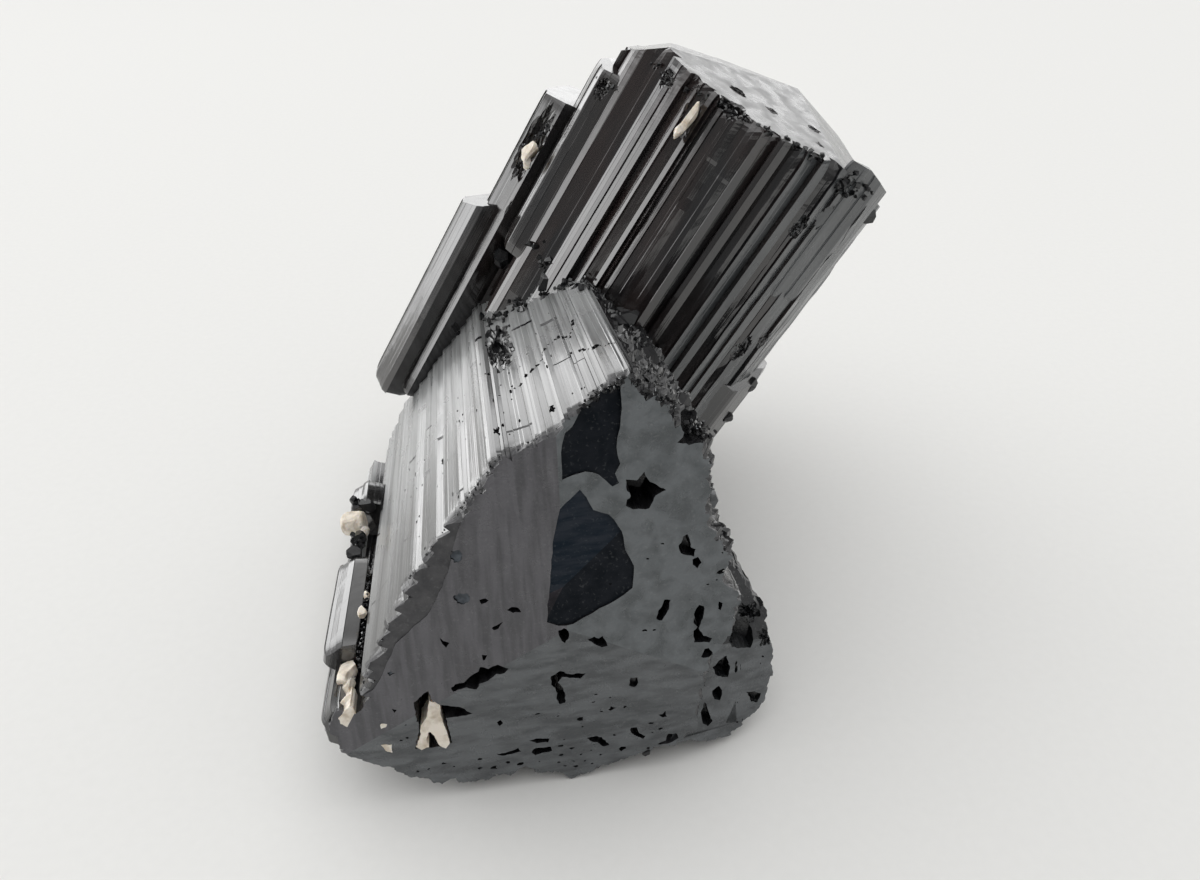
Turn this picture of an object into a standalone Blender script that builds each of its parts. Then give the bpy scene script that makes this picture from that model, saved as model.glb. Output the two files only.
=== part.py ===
"""A cluster of black tourmaline: two thick striated prisms grown through each other.

The front crystal lies almost level and shows its end, three shallow faces with a sunken shield.
The back crystal rises behind it and leans to the right. Thin prisms stand along both, and a few
grains of cream feldspar sit in hollows. The cluster rests on its underside, at z = 0.
"""
import math
import random

import bmesh
import bpy
from mathutils import Matrix, Vector

MM = 0.001

# ---------------------------------------------------------------- driving dimensions

# Each crystal has a frame of its own: z runs out along its length, x to the right, y up or back.
FRONT_ORIGIN = Vector((-3.9, -32.8, 25.2)) * MM
FRONT_TURN = 9.2
FRONT_TIP = 80.6
FRONT_LENGTH = 54.0

BACK_ORIGIN = Vector((2.3, 16.3, 30.9)) * MM
BACK_TURN = 3.8
BACK_LEAN = 30.5
BACK_SPIN = -22.5
BACK_FOOT = -50.0

# The end of the front crystal: three faces that meet at an apex.
END_APEX = (0.5, -4.5)
END_SLOPE = 6.0
END_FACINGS = (150.0, 30.0, 270.0)

# The top of the back crystal: a low ridge with one face to the front.
TOP_APEX = (4.5, 2.0, 31.6)
TOP_FACES = ((262.0, 9.0), (20.0, 16.0), (172.0, 14.5), (95.0, 12.0))

# Ribs that run along the crystals.
FRONT_RIB = 1.5
FRONT_RIB_HEIGHT = 0.42
BACK_RIB = 1.7
BACK_RIB_HEIGHT = 0.62

# Clear space between a feldspar grain and its pocket.
GRAIN_GAP = 0.32

BLACK = (0.010, 0.011, 0.012, 1.0)
CREAM = (0.76, 0.71, 0.62, 1.0)


# ---------------------------------------------------------------- frames and outlines

def turn(degrees, axis):
    return Matrix.Rotation(math.radians(degrees), 4, axis)


FRONT_FRAME = Matrix.Translation(FRONT_ORIGIN) @ turn(FRONT_TURN, "Z") @ turn(FRONT_TIP, "X")
BACK_FRAME = (Matrix.Translation(BACK_ORIGIN) @ turn(BACK_TURN, "Z") @ turn(BACK_LEAN, "Y")
              @ turn(BACK_SPIN, "Z"))


def along(points, spacing):
    """Points about a spacing apart from the first corner to the last, through those between."""
    result = []
    for (x0, y0), (x1, y1) in zip(points, points[1:]):
        steps = max(1, round(math.hypot(x1 - x0, y1 - y0) / spacing))
        result += [(x0 + (x1 - x0) * k / steps, y0 + (y1 - y0) * k / steps) for k in range(steps)]
    return result


def ribbed(points, spacing, height, seed):
    """A run of corners with ribs: every second point steps in, by its own share of the height."""
    rng = random.Random(seed)
    spaced = along(points, spacing)
    result = []
    for k, (x, y) in enumerate(spaced):
        (xa, ya), (xb, yb) = spaced[max(k - 1, 0)], spaced[min(k + 1, len(spaced) - 1)]
        side = Vector((yb - ya, xa - xb)).normalized()
        share = rng.uniform(-1.0, -0.35) if k % 2 else rng.uniform(-0.15, 0.35)
        slide = rng.uniform(-0.3, 0.3) * spacing
        x += side.x * height * share - side.y * slide
        y += side.y * height * share + side.x * slide
        result.append((x, y))
    return result


def round_outline(x, y, rx, ry, corners, seed, jag=0.12, start=0.0):
    """A rough polygon about a centre, for lumps, pits and thin prisms."""
    rng = random.Random(seed)
    result = []
    for k in range(corners):
        angle = start + 2 * math.pi * (k + rng.uniform(-0.2, 0.2)) / corners
        reach = 1.0 + rng.uniform(-jag, jag)
        result.append((x + rx * reach * math.cos(angle), y + ry * reach * math.sin(angle)))
    return result


# ---------------------------------------------------------------- solids

def as_object(bm, name, frame):
    """Turns a mesh built in a crystal's frame, in millimetres, into an object in metres."""
    bmesh.ops.recalc_face_normals(bm, faces=bm.faces)
    bm.transform(frame @ Matrix.Scale(MM, 4))
    mesh = bpy.data.meshes.new(name)
    bm.to_mesh(mesh)
    bm.free()
    solid = bpy.data.objects.new(name, mesh)
    bpy.context.scene.collection.objects.link(solid)
    return solid


def cut_away(bm, point, normal):
    """Cuts off what lies beyond a plane and closes the cut."""
    geometry = bm.verts[:] + bm.edges[:] + bm.faces[:]
    cut = bmesh.ops.bisect_plane(bm, geom=geometry, plane_co=point, plane_no=normal, clear_outer=True)
    edges = [item for item in cut["geom_cut"] if isinstance(item, bmesh.types.BMEdge)]
    bmesh.ops.contextual_create(bm, geom=edges)


def column(outline, low, high, frame, cuts=(), top=1.0, foot=1.0, lift=0.0):
    """A prism between two heights, cut by planes, with its ends drawn in by the factors given."""
    bm = bmesh.new()
    cx = sum(x for x, _ in outline) / len(outline)
    cy = sum(y for _, y in outline) / len(outline)

    def ring(factor, z):
        return [bm.verts.new((cx + (x - cx) * factor, cy + (y - cy) * factor, z)) for x, y in outline]

    rings = []
    if foot != 1.0:
        rings.append(ring(foot, low))
        low += lift
    rings.append(ring(1.0, low))
    rings.append(ring(1.0, high - (lift if top != 1.0 else 0.0)))
    if top != 1.0:
        rings.append(ring(top, high))
    count = len(outline)
    for below, above in zip(rings, rings[1:]):
        for k in range(count):
            bm.faces.new((below[k], below[(k + 1) % count], above[(k + 1) % count], above[k]))
    bm.faces.new(list(reversed(rings[0])))
    bm.faces.new(rings[-1])
    for point, normal in cuts:
        cut_away(bm, point, normal)
    return as_object(bm, "column", frame)


def band(x, y, half_width, height, low, high, frame):
    """A thick rib on the side of a crystal: it stands out from the crystal's axis and runs along it."""
    out = Vector((x, y)).normalized()
    across = Vector((-out.y, out.x))
    corners = [(-1.5, -1.6), (1.5, -1.6), (1.0, 0.25 * height), (0.1, 0.6 * height), (-1.0, 0.15 * height)]
    outline = [Vector((x, y)) + across * half_width * a + out * b for a, b in corners]
    tip = slope((x, y, high - 0.4), math.degrees(math.atan2(y, x)), 14)
    return column([tuple(corner) for corner in outline], low, high, frame, [tip])


def slope(apex, facing, tilt):
    """A cutting plane through the apex that falls away towards a facing, in degrees."""
    a, t = math.radians(facing), math.radians(tilt)
    return Vector(apex), Vector((math.sin(t) * math.cos(a), math.sin(t) * math.sin(a), math.cos(t)))


def lump(x, y, z, rx, ry, rz, frame, seed, rough=0.18):
    """An irregular pebble, for knobs, hollows and grains."""
    rng = random.Random(seed)
    bm = bmesh.new()
    bmesh.ops.create_icosphere(bm, subdivisions=2, radius=1.0)
    for vert in bm.verts:
        reach = 1.0 + rng.uniform(-rough, rough)
        vert.co = Vector((x, y, z)) + Vector((vert.co.x * rx, vert.co.y * ry, vert.co.z * rz)) * reach
    return as_object(bm, "lump", frame)


def boolean(target, tool, operation):
    """Joins the tool to the target or cuts it out, and removes the tool."""
    modifier = target.modifiers.new("Boolean", "BOOLEAN")
    modifier.operation = operation
    modifier.solver = "EXACT"
    modifier.object = tool
    depsgraph = bpy.context.evaluated_depsgraph_get()
    mesh = bpy.data.meshes.new_from_object(target.evaluated_get(depsgraph))
    target.modifiers.clear()
    target.data = mesh
    bpy.data.objects.remove(tool)


def join(target, tools):
    for tool in tools:
        boolean(target, tool, "UNION")


def cut(target, tools):
    for tool in tools:
        boolean(target, tool, "DIFFERENCE")


def plain_material(name, colour, roughness):
    material = bpy.data.materials.new(name)
    material.use_nodes = True
    shader = material.node_tree.nodes["Principled BSDF"]
    shader.inputs["Base Color"].default_value = colour
    shader.inputs["Roughness"].default_value = roughness
    shader.inputs["Metallic"].default_value = 0.0
    material.diffuse_color = colour
    return material


# ---------------------------------------------------------------- the front crystal

# Right side, bottom and left edge are ragged, so their corners are given one by one.
FRONT_RAGGED = [
    (-19.6, -12.0), (-21.4, -11.4), (-22.5, -13.1), (-21.8, -16.4), (-18.6, -19.1), (-16.7, -20.8),
    (-13.6, -22.9), (-9.1, -23.8), (-7.7, -22.9), (-4.4, -22.8), (-1.7, -24.2), (0.4, -25.5), (1.6, -25.3),
    (2.4, -24.1), (5.2, -24.1), (8.3, -23.2), (11.5, -22.6), (13.6, -21.3), (14.1, -16.8), (14.6, -13.1),
    (16.4, -9.5), (17.7, -6.6), (17.8, -3.8), (16.3, -2.0), (17.1, 0.7), (16.1, 2.5), (14.9, 4.4),
    (14.6, 6.2), (15.2, 9.6), (15.0, 11.6), (13.1, 14.7), (11.3, 16.4), (9.6, 17.9),
]
# The long upper left side is flat and striated.
FRONT_STRIATED = [
    (7.0, 19.9), (3.6, 17.8), (-1.6, 14.1), (-4.9, 13.0), (-8.0, 8.8), (-13.4, 1.8), (-18.9, -8.6),
    (-19.5, -10.8),
]


def front_crystal():
    """The core prism with its three end faces and its blunt back end."""
    outline = FRONT_RAGGED + ribbed(FRONT_STRIATED, FRONT_RIB, FRONT_RIB_HEIGHT, 11)
    ends = [slope((*END_APEX, 0.0), facing, END_SLOPE) for facing in END_FACINGS]
    return column(outline, -FRONT_LENGTH, 3.0, FRONT_FRAME, ends)


# Ribs thick enough to see from a step away, some shorter than the side that they lie on:
# x, y, half width, height, far end, near end.
FRONT_BANDS = [
    (4.6, 18.4, 1.2, 0.8, -31.0, -8.5), (1.6, 16.3, 1.1, 0.8, -17.0, -1.8),
    (-0.6, 14.9, 1.2, 0.9, -36.0, -19.5),
    (-6.5, 10.8, 1.0, 0.9, -50.0, -8.0), (-9.4, 6.9, 1.0, 0.9, -30.0, -1.9),
    (-11.8, 3.9, 1.0, 0.8, -53.5, -14.0),
    (-14.6, -0.4, 1.0, 0.9, -46.0, -3.0), (-16.7, -4.4, 1.0, 0.9, -53.0, -12.0),
    (16.2, 4.0, 1.2, 0.6, -50.0, -16.0), (16.6, -6.0, 1.2, 0.7, -40.0, -8.0),
    (14.6, 9.0, 1.2, 0.6, -46.0, -12.0),
]
# The lump at the lower right of the front crystal.
LUMP_OUTLINE = [
    (10.0, -22.6), (14.4, -24.3), (16.9, -24.7), (19.6, -23.4), (21.6, -21.2), (22.2, -19.4), (23.3, -18.0),
    (22.9, -14.6), (21.8, -11.2), (19.9, -7.7), (18.0, -5.6), (12.0, -6.0),
]


def front_companions():
    """Thin prisms along the left edge, the lump at the lower right and the knob behind it."""
    upper_left = [
        (-19.6, -9.6), (-21.4, -9.3), (-23.2, -10.5), (-23.5, -12.0), (-21.8, -13.4), (-19.4, -12.9),
    ]
    lower_left = [
        (-19.8, -12.6), (-22.0, -11.9), (-23.2, -13.6), (-22.9, -16.2), (-20.2, -18.0), (-18.0, -16.0),
    ]
    far_left = [
        (-17.6, -7.6), (-20.2, -6.6), (-22.3, -7.8), (-22.9, -10.4), (-21.6, -12.6), (-18.0, -12.2),
    ]
    lump_end = [slope((15.5, -20.0, -3.6), 20, 16), slope((19.4, -9.5, -6.5), 48, 50)]
    knob_outline = round_outline(20.2, -8.6, 5.0, 4.8, 9, 71)
    knob_end = [slope((22.0, -8.6, -26.8), 0, 20)]
    return [
        column(upper_left, -25.0, -8.5, FRONT_FRAME, [slope((-22.0, -11.0, -8.2), 60, 14)]),
        column(lower_left, -46.0, -2.2, FRONT_FRAME, top=0.86, lift=0.8),
        column(far_left, -38.5, -31.0, FRONT_FRAME, [slope((-20.0, -9.0, -31.0), 200, 24)]),
        lump(-22.2, -9.8, -25.8, 1.4, 1.3, 1.8, FRONT_FRAME, 61),
        column(LUMP_OUTLINE, -27.0, -2.6, FRONT_FRAME, lump_end, foot=0.8, lift=4.0),
        column(knob_outline, -37.0, -26.6, FRONT_FRAME, knob_end, top=0.75, foot=0.7, lift=2.0),
    ]


# Rough patches: the top edge of the end, the right shoulder, and the bottom rim.
FRONT_KNOBS = [
    (5.0, 18.2, -3.0, 1.4), (7.6, 18.7, -3.6, 1.2), (3.0, 17.0, -1.9, 1.0), (9.4, 17.6, -9.0, 1.5),
    (12.9, 14.6, -6.0, 1.3), (14.6, 11.4, -5.0, 1.1), (11.3, 16.3, -14.5, 1.7), (9.4, 18.0, -21.0, 1.6),
    (13.4, 14.2, -19.0, 1.6), (11.6, 16.4, -26.0, 1.9), (6.4, 19.2, -26.5, 1.4), (16.6, 1.2, -4.2, 1.2),
    (0.8, -24.6, -3.6, 1.6), (-9.8, -22.9, -4.0, 1.5), (9.6, -22.0, -4.2, 1.7), (-16.4, -20.2, -4.4, 1.3),
]


def front_knobs():
    knobs = []
    for k, (x, y, z, size) in enumerate(FRONT_KNOBS):
        knobs.append(lump(x, y, z, size, size * 0.85, size * 1.5, FRONT_FRAME, 80 + k, 0.25))
    return knobs


# Sunken parts of the end face, cut with a floor that slopes.
SHIELD = [
    (2.0, 9.9), (-0.1, 8.4), (-0.9, 3.2), (-1.2, -2.9), (0.1, -4.3), (3.6, -3.2), (6.6, -1.6), (6.9, 1.4),
    (6.2, 4.2), (4.2, 7.7),
]
UPPER_PATCH = [
    (0.9, 15.3), (3.3, 17.0), (5.7, 18.0), (5.5, 12.6), (5.0, 8.9), (3.8, 11.0), (2.1, 12.0), (0.8, 11.4),
]
STAR = [
    (7.9, 10.9), (8.3, 9.9), (9.8, 9.2), (8.6, 8.3), (7.6, 7.3), (6.4, 7.6), (6.5, 8.8), (5.9, 9.8),
    (7.4, 9.9),
]

# Pits in the end face: x, y, half width, half height, depth, turn in degrees.
END_PITS = [
    (0.0, -5.1, 0.75, 0.75, 2.2, 0), (3.5, -6.0, 0.8, 0.45, 1.5, 0), (9.5, -3.6, 0.5, 1.25, 2.4, -22),
    (12.9, -4.2, 0.5, 1.1, 2.2, 0), (13.1, -6.9, 0.7, 0.8, 2.2, 20), (14.1, -9.4, 0.7, 0.6, 1.8, 30),
    (15.3, -11.2, 0.9, 0.9, 2.4, 0), (14.8, -14.2, 0.8, 0.8, 2.2, 40), (13.7, -16.6, 0.6, 1.1, 2.0, 10),
    (11.7, 3.1, 0.8, 0.9, 1.5, 0), (15.4, 3.4, 0.45, 0.9, 1.6, -15), (-4.2, -1.6, 0.65, 0.35, 1.2, 0),
    (-5.6, -3.5, 0.6, 0.35, 1.2, 30), (-10.9, -5.2, 0.6, 0.4, 1.2, -40), (-7.2, -8.7, 2.6, 0.75, 2.6, 24),
    (-0.7, -10.4, 0.7, 1.5, 2.4, 12), (1.2, -9.2, 1.5, 0.4, 1.4, 0), (6.3, -11.0, 0.9, 0.7, 1.2, 0),
    (3.9, -14.8, 1.1, 0.8, 1.4, 0), (10.0, -17.8, 1.4, 0.7, 1.4, 20), (3.2, -18.4, 1.0, 0.45, 1.4, -20),
    (-2.2, -17.6, 1.2, 0.35, 1.2, 0), (-2.6, -19.0, 1.3, 0.5, 1.6, 8), (-17.0, -14.0, 0.7, 0.4, 1.2, 0),
    (13.8, 13.0, 1.9, 0.9, 2.2, -50), (-11.2, -11.7, 2.3, 0.55, 2.2, -8), (-13.6, -11.9, 0.9, 1.4, 3.2, 0),
]


def end_height(x, y):
    """How far the end face lies below its apex at a point."""
    drop = 0.0
    for facing in END_FACINGS:
        a = math.radians(facing)
        reach = (x - END_APEX[0]) * math.cos(a) + (y - END_APEX[1]) * math.sin(a)
        drop = max(drop, reach * math.tan(math.radians(END_SLOPE)))
    return -drop


def face_pit(x, y, half_width, half_height, depth, degrees, seed):
    """A cutter for one angular pit, narrower at its floor."""
    shape = round_outline(0.0, 0.0, half_width, half_height, 6, seed, 0.28)
    cos_a, sin_a = math.cos(math.radians(degrees)), math.sin(math.radians(degrees))
    outline = [(x + px * cos_a - py * sin_a, y + px * sin_a + py * cos_a) for px, py in shape]
    surface = end_height(x, y)
    return column(outline, surface - depth, surface + 1.2, FRONT_FRAME, foot=0.55, lift=depth * 0.6)


def sunken(outline, depth, facing, tilt):
    """A cutter whose floor lies a depth under the end face and slopes towards a facing."""
    cx = sum(x for x, _ in outline) / len(outline)
    cy = sum(y for _, y in outline) / len(outline)
    floor = end_height(cx, cy) - depth
    point, normal = slope((cx, cy, floor), facing, tilt)
    return column(outline, floor - 3.0, floor + 5.0, FRONT_FRAME, [(point, -normal)])


def end_cutters():
    cutters = [sunken(SHIELD, 0.75, 255, 5.0), sunken(UPPER_PATCH, 0.7, 200, 7.0)]
    star_floor = end_height(7.5, 9.0)
    cutters.append(column(STAR, star_floor - 4.0, star_floor + 1.5, FRONT_FRAME, foot=0.5, lift=2.5))
    for k, pit in enumerate(END_PITS):
        cutters.append(face_pit(*pit, 120 + k))
    return cutters


# Broken places along the right shoulder: x, y, z and size.
SHOULDER_HOLLOWS = [
    (12.4, 16.3, -10.5, 1.2), (10.4, 18.2, -16.5, 1.3), (14.9, 12.6, -9.5, 1.1), (12.6, 16.4, -22.0, 1.5),
    (15.6, 9.0, -15.0, 1.4), (16.9, -1.0, -12.0, 1.5),
]


def side_cutters():
    """The long hollow and the crack in the striated side, and the broken right shoulder."""
    cutters = [
        lump(-3.0, 14.1, -27.5, 1.7, 1.8, 7.6, FRONT_FRAME, 31),
        lump(2.8, 17.9, -17.6, 2.4, 0.8, 0.7, FRONT_FRAME, 32),
    ]
    for k, (x, y, z, size) in enumerate(SHOULDER_HOLLOWS):
        cutters.append(lump(x, y, z, size, size, size * 1.7, FRONT_FRAME, 35 + k, 0.3))
    return cutters


# ---------------------------------------------------------------- the back crystal

BACK_OUTLINE = [
    (18.2, -9.8), (19.9, -5.0), (20.8, 3.0), (18.8, 10.0), (12.0, 16.0), (3.0, 18.5), (-7.0, 17.5),
    (-12.4, 12.6), (-14.4, 6.0), (-14.3, -3.0), (-13.4, -8.4), (-11.2, -12.2), (-6.0, -16.3),
    (-0.5, -18.4), (4.5, -19.0), (9.0, -17.7), (14.0, -14.4),
]

# Its thick ribs, from the left edge round the front and then up the back.
BACK_BANDS = [
    (-12.6, -11.2, 1.1, 1.3, -20.0, 18.6), (-10.4, -13.4, 1.0, 1.1, -24.0, 21.2),
    (-7.6, -15.4, 1.2, 1.3, -22.0, 21.3),
    (-4.4, -17.0, 1.1, 1.2, -24.0, 28.3), (-1.5, -18.2, 0.9, 1.0, -26.0, 27.2),
    (1.4, -18.9, 1.3, 1.1, -26.0, 25.6),
    (5.0, -18.9, 1.1, 1.0, -27.0, 27.8), (8.2, -17.9, 1.3, 1.1, -27.0, 27.4),
    (11.6, -16.1, 1.1, 1.0, -27.0, 27.8),
    (14.2, -14.2, 1.2, 1.0, -25.0, 22.0), (16.8, -11.8, 1.0, 1.0, -25.0, 27.6),
    (18.9, -8.0, 0.9, 0.9, -25.0, 24.0),
    (20.0, 5.0, 1.6, 1.0, -20.0, 25.0), (15.6, 12.8, 1.8, 1.2, -24.0, 21.0),
    (8.0, 17.0, 1.7, 1.1, -28.0, 27.0),
    (-9.6, 15.2, 1.6, 1.2, -30.0, 19.0),
]


def back_crystal():
    """The core prism with its low four-sided top. Its lower end is broken narrower than the rest."""
    outline = ribbed(BACK_OUTLINE + BACK_OUTLINE[:1], BACK_RIB, BACK_RIB_HEIGHT, 23)
    tops = [slope(TOP_APEX, facing, tilt) for facing, tilt in TOP_FACES]
    broken = [(Vector((-17.0, 0.0, -20.0)), Vector((-0.86, 0.0, -0.5))),
              (Vector((0.0, 18.0, -18.0)), Vector((0.1, 0.8, -0.6)))]
    shoulder = slope((-11.6, 0.0, 27.0), 184, 36)
    return column(outline, BACK_FOOT, TOP_APEX[2] + 4.0, BACK_FRAME, tops + [shoulder] + broken)


def back_companions():
    """Thin prisms up the left side, the shoulder at the upper left and the ledge at the right."""
    left_thin = [(-22.2, -3.2), (-21.4, -7.2), (-18.6, -9.2), (-15.8, -7.0), (-13.8, -1.0), (-18.4, 1.2)]
    capped = [(-19.6, -4.8), (-18.6, -8.4), (-15.4, -10.0), (-12.0, -6.0), (-14.0, 4.0), (-19.4, 3.0)]
    stub = [(-15.2, -7.6), (-13.6, -11.6), (-10.6, -12.4), (-8.6, -8.0), (-11.0, -1.0), (-15.0, -2.0)]
    shoulder = [(-14.6, 4.0), (-13.6, -6.0), (-10.4, -9.6), (-6.0, -8.0), (-4.0, 6.0), (-9.0, 12.0)]
    behind_left = [(-17.5, 13.0), (-19.6, 7.0), (-17.6, 1.0), (-12.0, 2.0), (-10.0, 14.0), (-14.0, 16.4)]
    behind = [(-4.0, 16.0), (3.0, 16.0), (5.0, 20.4), (1.5, 22.4), (-3.4, 21.0)]
    right_ledge = [(17.0, -11.0), (19.4, -9.4), (21.0, -4.6), (21.6, 2.4), (19.6, 5.0), (15.0, 0.0)]
    frame = BACK_FRAME
    return [
        column(left_thin, -29.8, 1.0, frame, [slope((-18.6, -8.5, -0.4), 200, 10)], foot=0.84, lift=1.2),
        column(capped, -26.0, 17.6, frame, [slope((-16.0, -8.0, 17.5), 185, 12)], top=0.72, lift=1.8),
        column(stub, 0.0, 23.6, frame, [slope((-13.0, -9.5, 23.5), 210, 13)], top=0.8, lift=1.0),
        column(shoulder, 0.0, 27.2, frame, [slope((-10.0, -4.0, 26.9), 180, 20)]),
        column(behind_left, -26.0, 9.0, frame, [slope((-16.0, 8.0, 8.6), 150, 22)]),
        column(behind, -30.0, 14.0, frame, [slope((0.0, 20.0, 13.6), 80, 20)], foot=0.8, lift=2.0),
        column(right_ledge, -24.0, 2.6, frame, [slope((21.0, -4.0, 1.6), 330, 30)], foot=0.8, lift=3.0),
    ]


# Pits and broken places on the back crystal: x, y, z and size across and along.
BACK_HOLLOWS = [
    (-16.4, -9.4, 12.6, 1.5, 3.8), (-12.4, -10.8, 21.5, 0.9, 1.2), (13.6, -15.4, 22.0, 1.2, 1.7),
    (17.4, -11.8, 26.6, 1.4, 2.0),
    (15.2, -13.9, 26.4, 1.1, 1.3), (18.6, -9.8, 20.6, 1.0, 2.2), (17.3, -11.6, 5.6, 1.6, 2.0),
    (1.0, -19.4, 26.8, 1.3, 1.2),
    (-8.2, -15.8, 21.8, 1.4, 1.3), (-2.2, 18.0, 27.0, 3.0, 2.6), (12.0, 15.4, 12.0, 2.4, 5.0),
    (18.6, -10.5, -1.0, 1.2, 4.0),
]
BACK_KNOBS = [
    (17.3, -9.0, 27.4, 1.5, 1.7), (19.2, -6.0, 25.4, 1.2, 2.2), (20.9, -4.4, 1.0, 1.0, 1.5),
    (20.8, -5.0, -4.0, 1.0, 2.0),
    (-1.2, -18.4, 4.4, 1.8, 1.6), (-6.2, -15.8, 2.0, 1.7, 1.4), (3.0, -18.6, 5.4, 1.5, 1.6),
    (-13.6, -9.2, -2.2, 1.6, 1.8),
]


def back_lumps(places, seed):
    lumps = []
    for k, (x, y, z, across, length) in enumerate(places):
        lumps.append(lump(x, y, z, across, across, length, BACK_FRAME, seed + k, 0.26))
    return lumps


# ---------------------------------------------------------------- feldspar grains

# Name, crystal frame, centre, half sizes and seed.
GRAINS = [
    ("feldspar_left_upper", FRONT_FRAME, (-21.9, -8.8, -31.2), (1.9, 2.1, 1.9), 201),
    ("feldspar_left_lower", FRONT_FRAME, (-20.5, -11.6, -6.6), (1.2, 1.1, 2.6), 202),
    ("feldspar_corner", FRONT_FRAME, (-20.0, -12.6, -2.4), (1.5, 1.7, 1.3), 203),
    ("feldspar_front", FRONT_FRAME, (-11.9, -13.5, -2.2), (1.1, 2.2, 1.5), 204),
    ("feldspar_back_left", BACK_FRAME, (-16.9, -8.9, 10.6), (1.3, 1.3, 2.0), 205),
    ("feldspar_back_top", BACK_FRAME, (-1.9, -18.5, 24.6), (0.9, 1.2, 2.6), 206),
]


def grain(name, frame, centre, size, seed, grow=0.0):
    solid = lump(*centre, *(half + grow for half in size), frame, seed, 0.16)
    solid.name = name
    return solid


# ---------------------------------------------------------------- the cluster

def below_ground():
    """A large block under z = 0. What it takes away leaves the flat face that the cluster lies on."""
    square = [(-80.0, -80.0), (80.0, -80.0), (80.0, 80.0), (-80.0, 80.0)]
    return column(square, -40.0, 0.0, Matrix.Identity(4))


def reached_from(vert):
    """All the points joined to this one by edges."""
    found = {vert}
    front = [vert]
    while front:
        here = front.pop()
        for edge in here.link_edges:
            other = edge.other_vert(here)
            if other not in found:
                found.add(other)
                front.append(other)
    return found


def drop_chips(solid):
    """Keeps the largest body, where a hollow has cut a corner right off, and mends zero-length edges."""
    bm = bmesh.new()
    bm.from_mesh(solid.data)
    rest = set(bm.verts)
    bodies = []
    while rest:
        body = reached_from(next(iter(rest)))
        bodies.append(body)
        rest -= body
    bodies.sort(key=len)
    bmesh.ops.delete(bm, geom=[vert for body in bodies[:-1] for vert in body], context="VERTS")
    bmesh.ops.dissolve_degenerate(bm, edges=bm.edges, dist=5e-7)
    bm.to_mesh(solid.data)
    bm.free()


def build():
    for item in list(bpy.data.objects):
        bpy.data.objects.remove(item)

    cluster = front_crystal()
    join(cluster, [band(*values, FRONT_FRAME) for values in FRONT_BANDS] + front_companions() + front_knobs())
    cut(cluster, end_cutters() + side_cutters())
    back = back_crystal()
    join(back, [band(*values, BACK_FRAME) for values in BACK_BANDS] + back_companions())
    join(back, back_lumps(BACK_KNOBS, 301))
    cut(back, back_lumps(BACK_HOLLOWS, 330))
    join(cluster, [back])
    cut(cluster, [below_ground()])

    cream = plain_material("cream_feldspar", CREAM, 0.75)
    for name, frame, centre, size, seed in GRAINS:
        cut(cluster, [grain("pocket", frame, centre, size, seed, GRAIN_GAP)])
        grain(name, frame, centre, size, seed).data.materials.append(cream)

    drop_chips(cluster)
    cluster.name = "tourmaline_cluster"
    cluster.data.name = "tourmaline_cluster"
    cluster.data.materials.clear()
    cluster.data.materials.append(plain_material("black_tourmaline", BLACK, 0.18))


build()
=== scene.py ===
"""A cluster of black tourmaline: two thick striated prisms grown through each other, with thin
prisms, broken crust and cream feldspar along them, lying on a pale table under soft light."""
import math
import random

import bpy
import numpy as np
from mathutils import Euler, Matrix, Vector, noise


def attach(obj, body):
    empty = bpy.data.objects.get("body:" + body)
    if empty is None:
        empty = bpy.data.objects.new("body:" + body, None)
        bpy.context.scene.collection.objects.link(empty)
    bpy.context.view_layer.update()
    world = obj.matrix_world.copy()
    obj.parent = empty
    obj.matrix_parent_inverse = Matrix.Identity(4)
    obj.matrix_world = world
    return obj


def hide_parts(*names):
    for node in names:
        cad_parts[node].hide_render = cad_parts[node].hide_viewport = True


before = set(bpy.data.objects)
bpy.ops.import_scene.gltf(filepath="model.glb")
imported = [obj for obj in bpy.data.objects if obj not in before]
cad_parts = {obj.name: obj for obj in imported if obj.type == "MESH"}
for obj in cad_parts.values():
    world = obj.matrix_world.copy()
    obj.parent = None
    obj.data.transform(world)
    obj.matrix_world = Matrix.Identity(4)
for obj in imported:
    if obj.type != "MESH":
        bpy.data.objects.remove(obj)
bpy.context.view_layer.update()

# ---------------------------------------------------------------- table, light and camera
# A plain white table top of matt laminate, lit by a wide soft lamp from the upper left and behind,
# with a white room all round that is darker on the camera's side.


def feed(tree, node, inputs):
    """Gives each input of a node a value of its own, or leads another node's output to it."""
    for name, value in inputs.items():
        if isinstance(value, bpy.types.NodeSocket):
            tree.links.new(value, node.inputs[name])
        else:
            node.inputs[name].default_value = value


def add_node(tree, kind, inputs=None, **settings):
    node = tree.nodes.new("ShaderNode" + kind)
    for name, value in settings.items():
        setattr(node, name, value)
    feed(tree, node, inputs or {})
    return node


def between(tree, value, low, high, to_low, to_high, **settings):
    """Turns what lies between low and high into what lies between two other values."""
    return add_node(tree, "MapRange", {
        "Value": value, "From Min": low, "From Max": high, "To Min": to_low, "To Max": to_high,
    }, **settings).outputs["Result"]


bpy.ops.object.select_all(action="DESELECT")
bpy.ops.mesh.primitive_plane_add(size=6.0, location=(0.0, 0.0, 0.0))
table = bpy.context.object
table.name = "table"
laminate = bpy.data.materials.new("white_laminate")
laminate.use_nodes = True
tree = laminate.node_tree
where = add_node(tree, "TexCoord").outputs["Object"]
cloud = add_node(tree, "TexNoise", {"Vector": where, "Scale": 900.0}).outputs["Fac"]
tone = add_node(tree, "Mix", {
    "Factor": cloud, "A": (0.745, 0.742, 0.725, 1.0), "B": (0.775, 0.772, 0.755, 1.0),
}, data_type="RGBA").outputs["Result"]
feed(tree, tree.nodes["Principled BSDF"], {"Base Color": tone, "Roughness": 0.8, "Specular IOR Level": 0.08})
table.data.materials.append(laminate)

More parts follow.
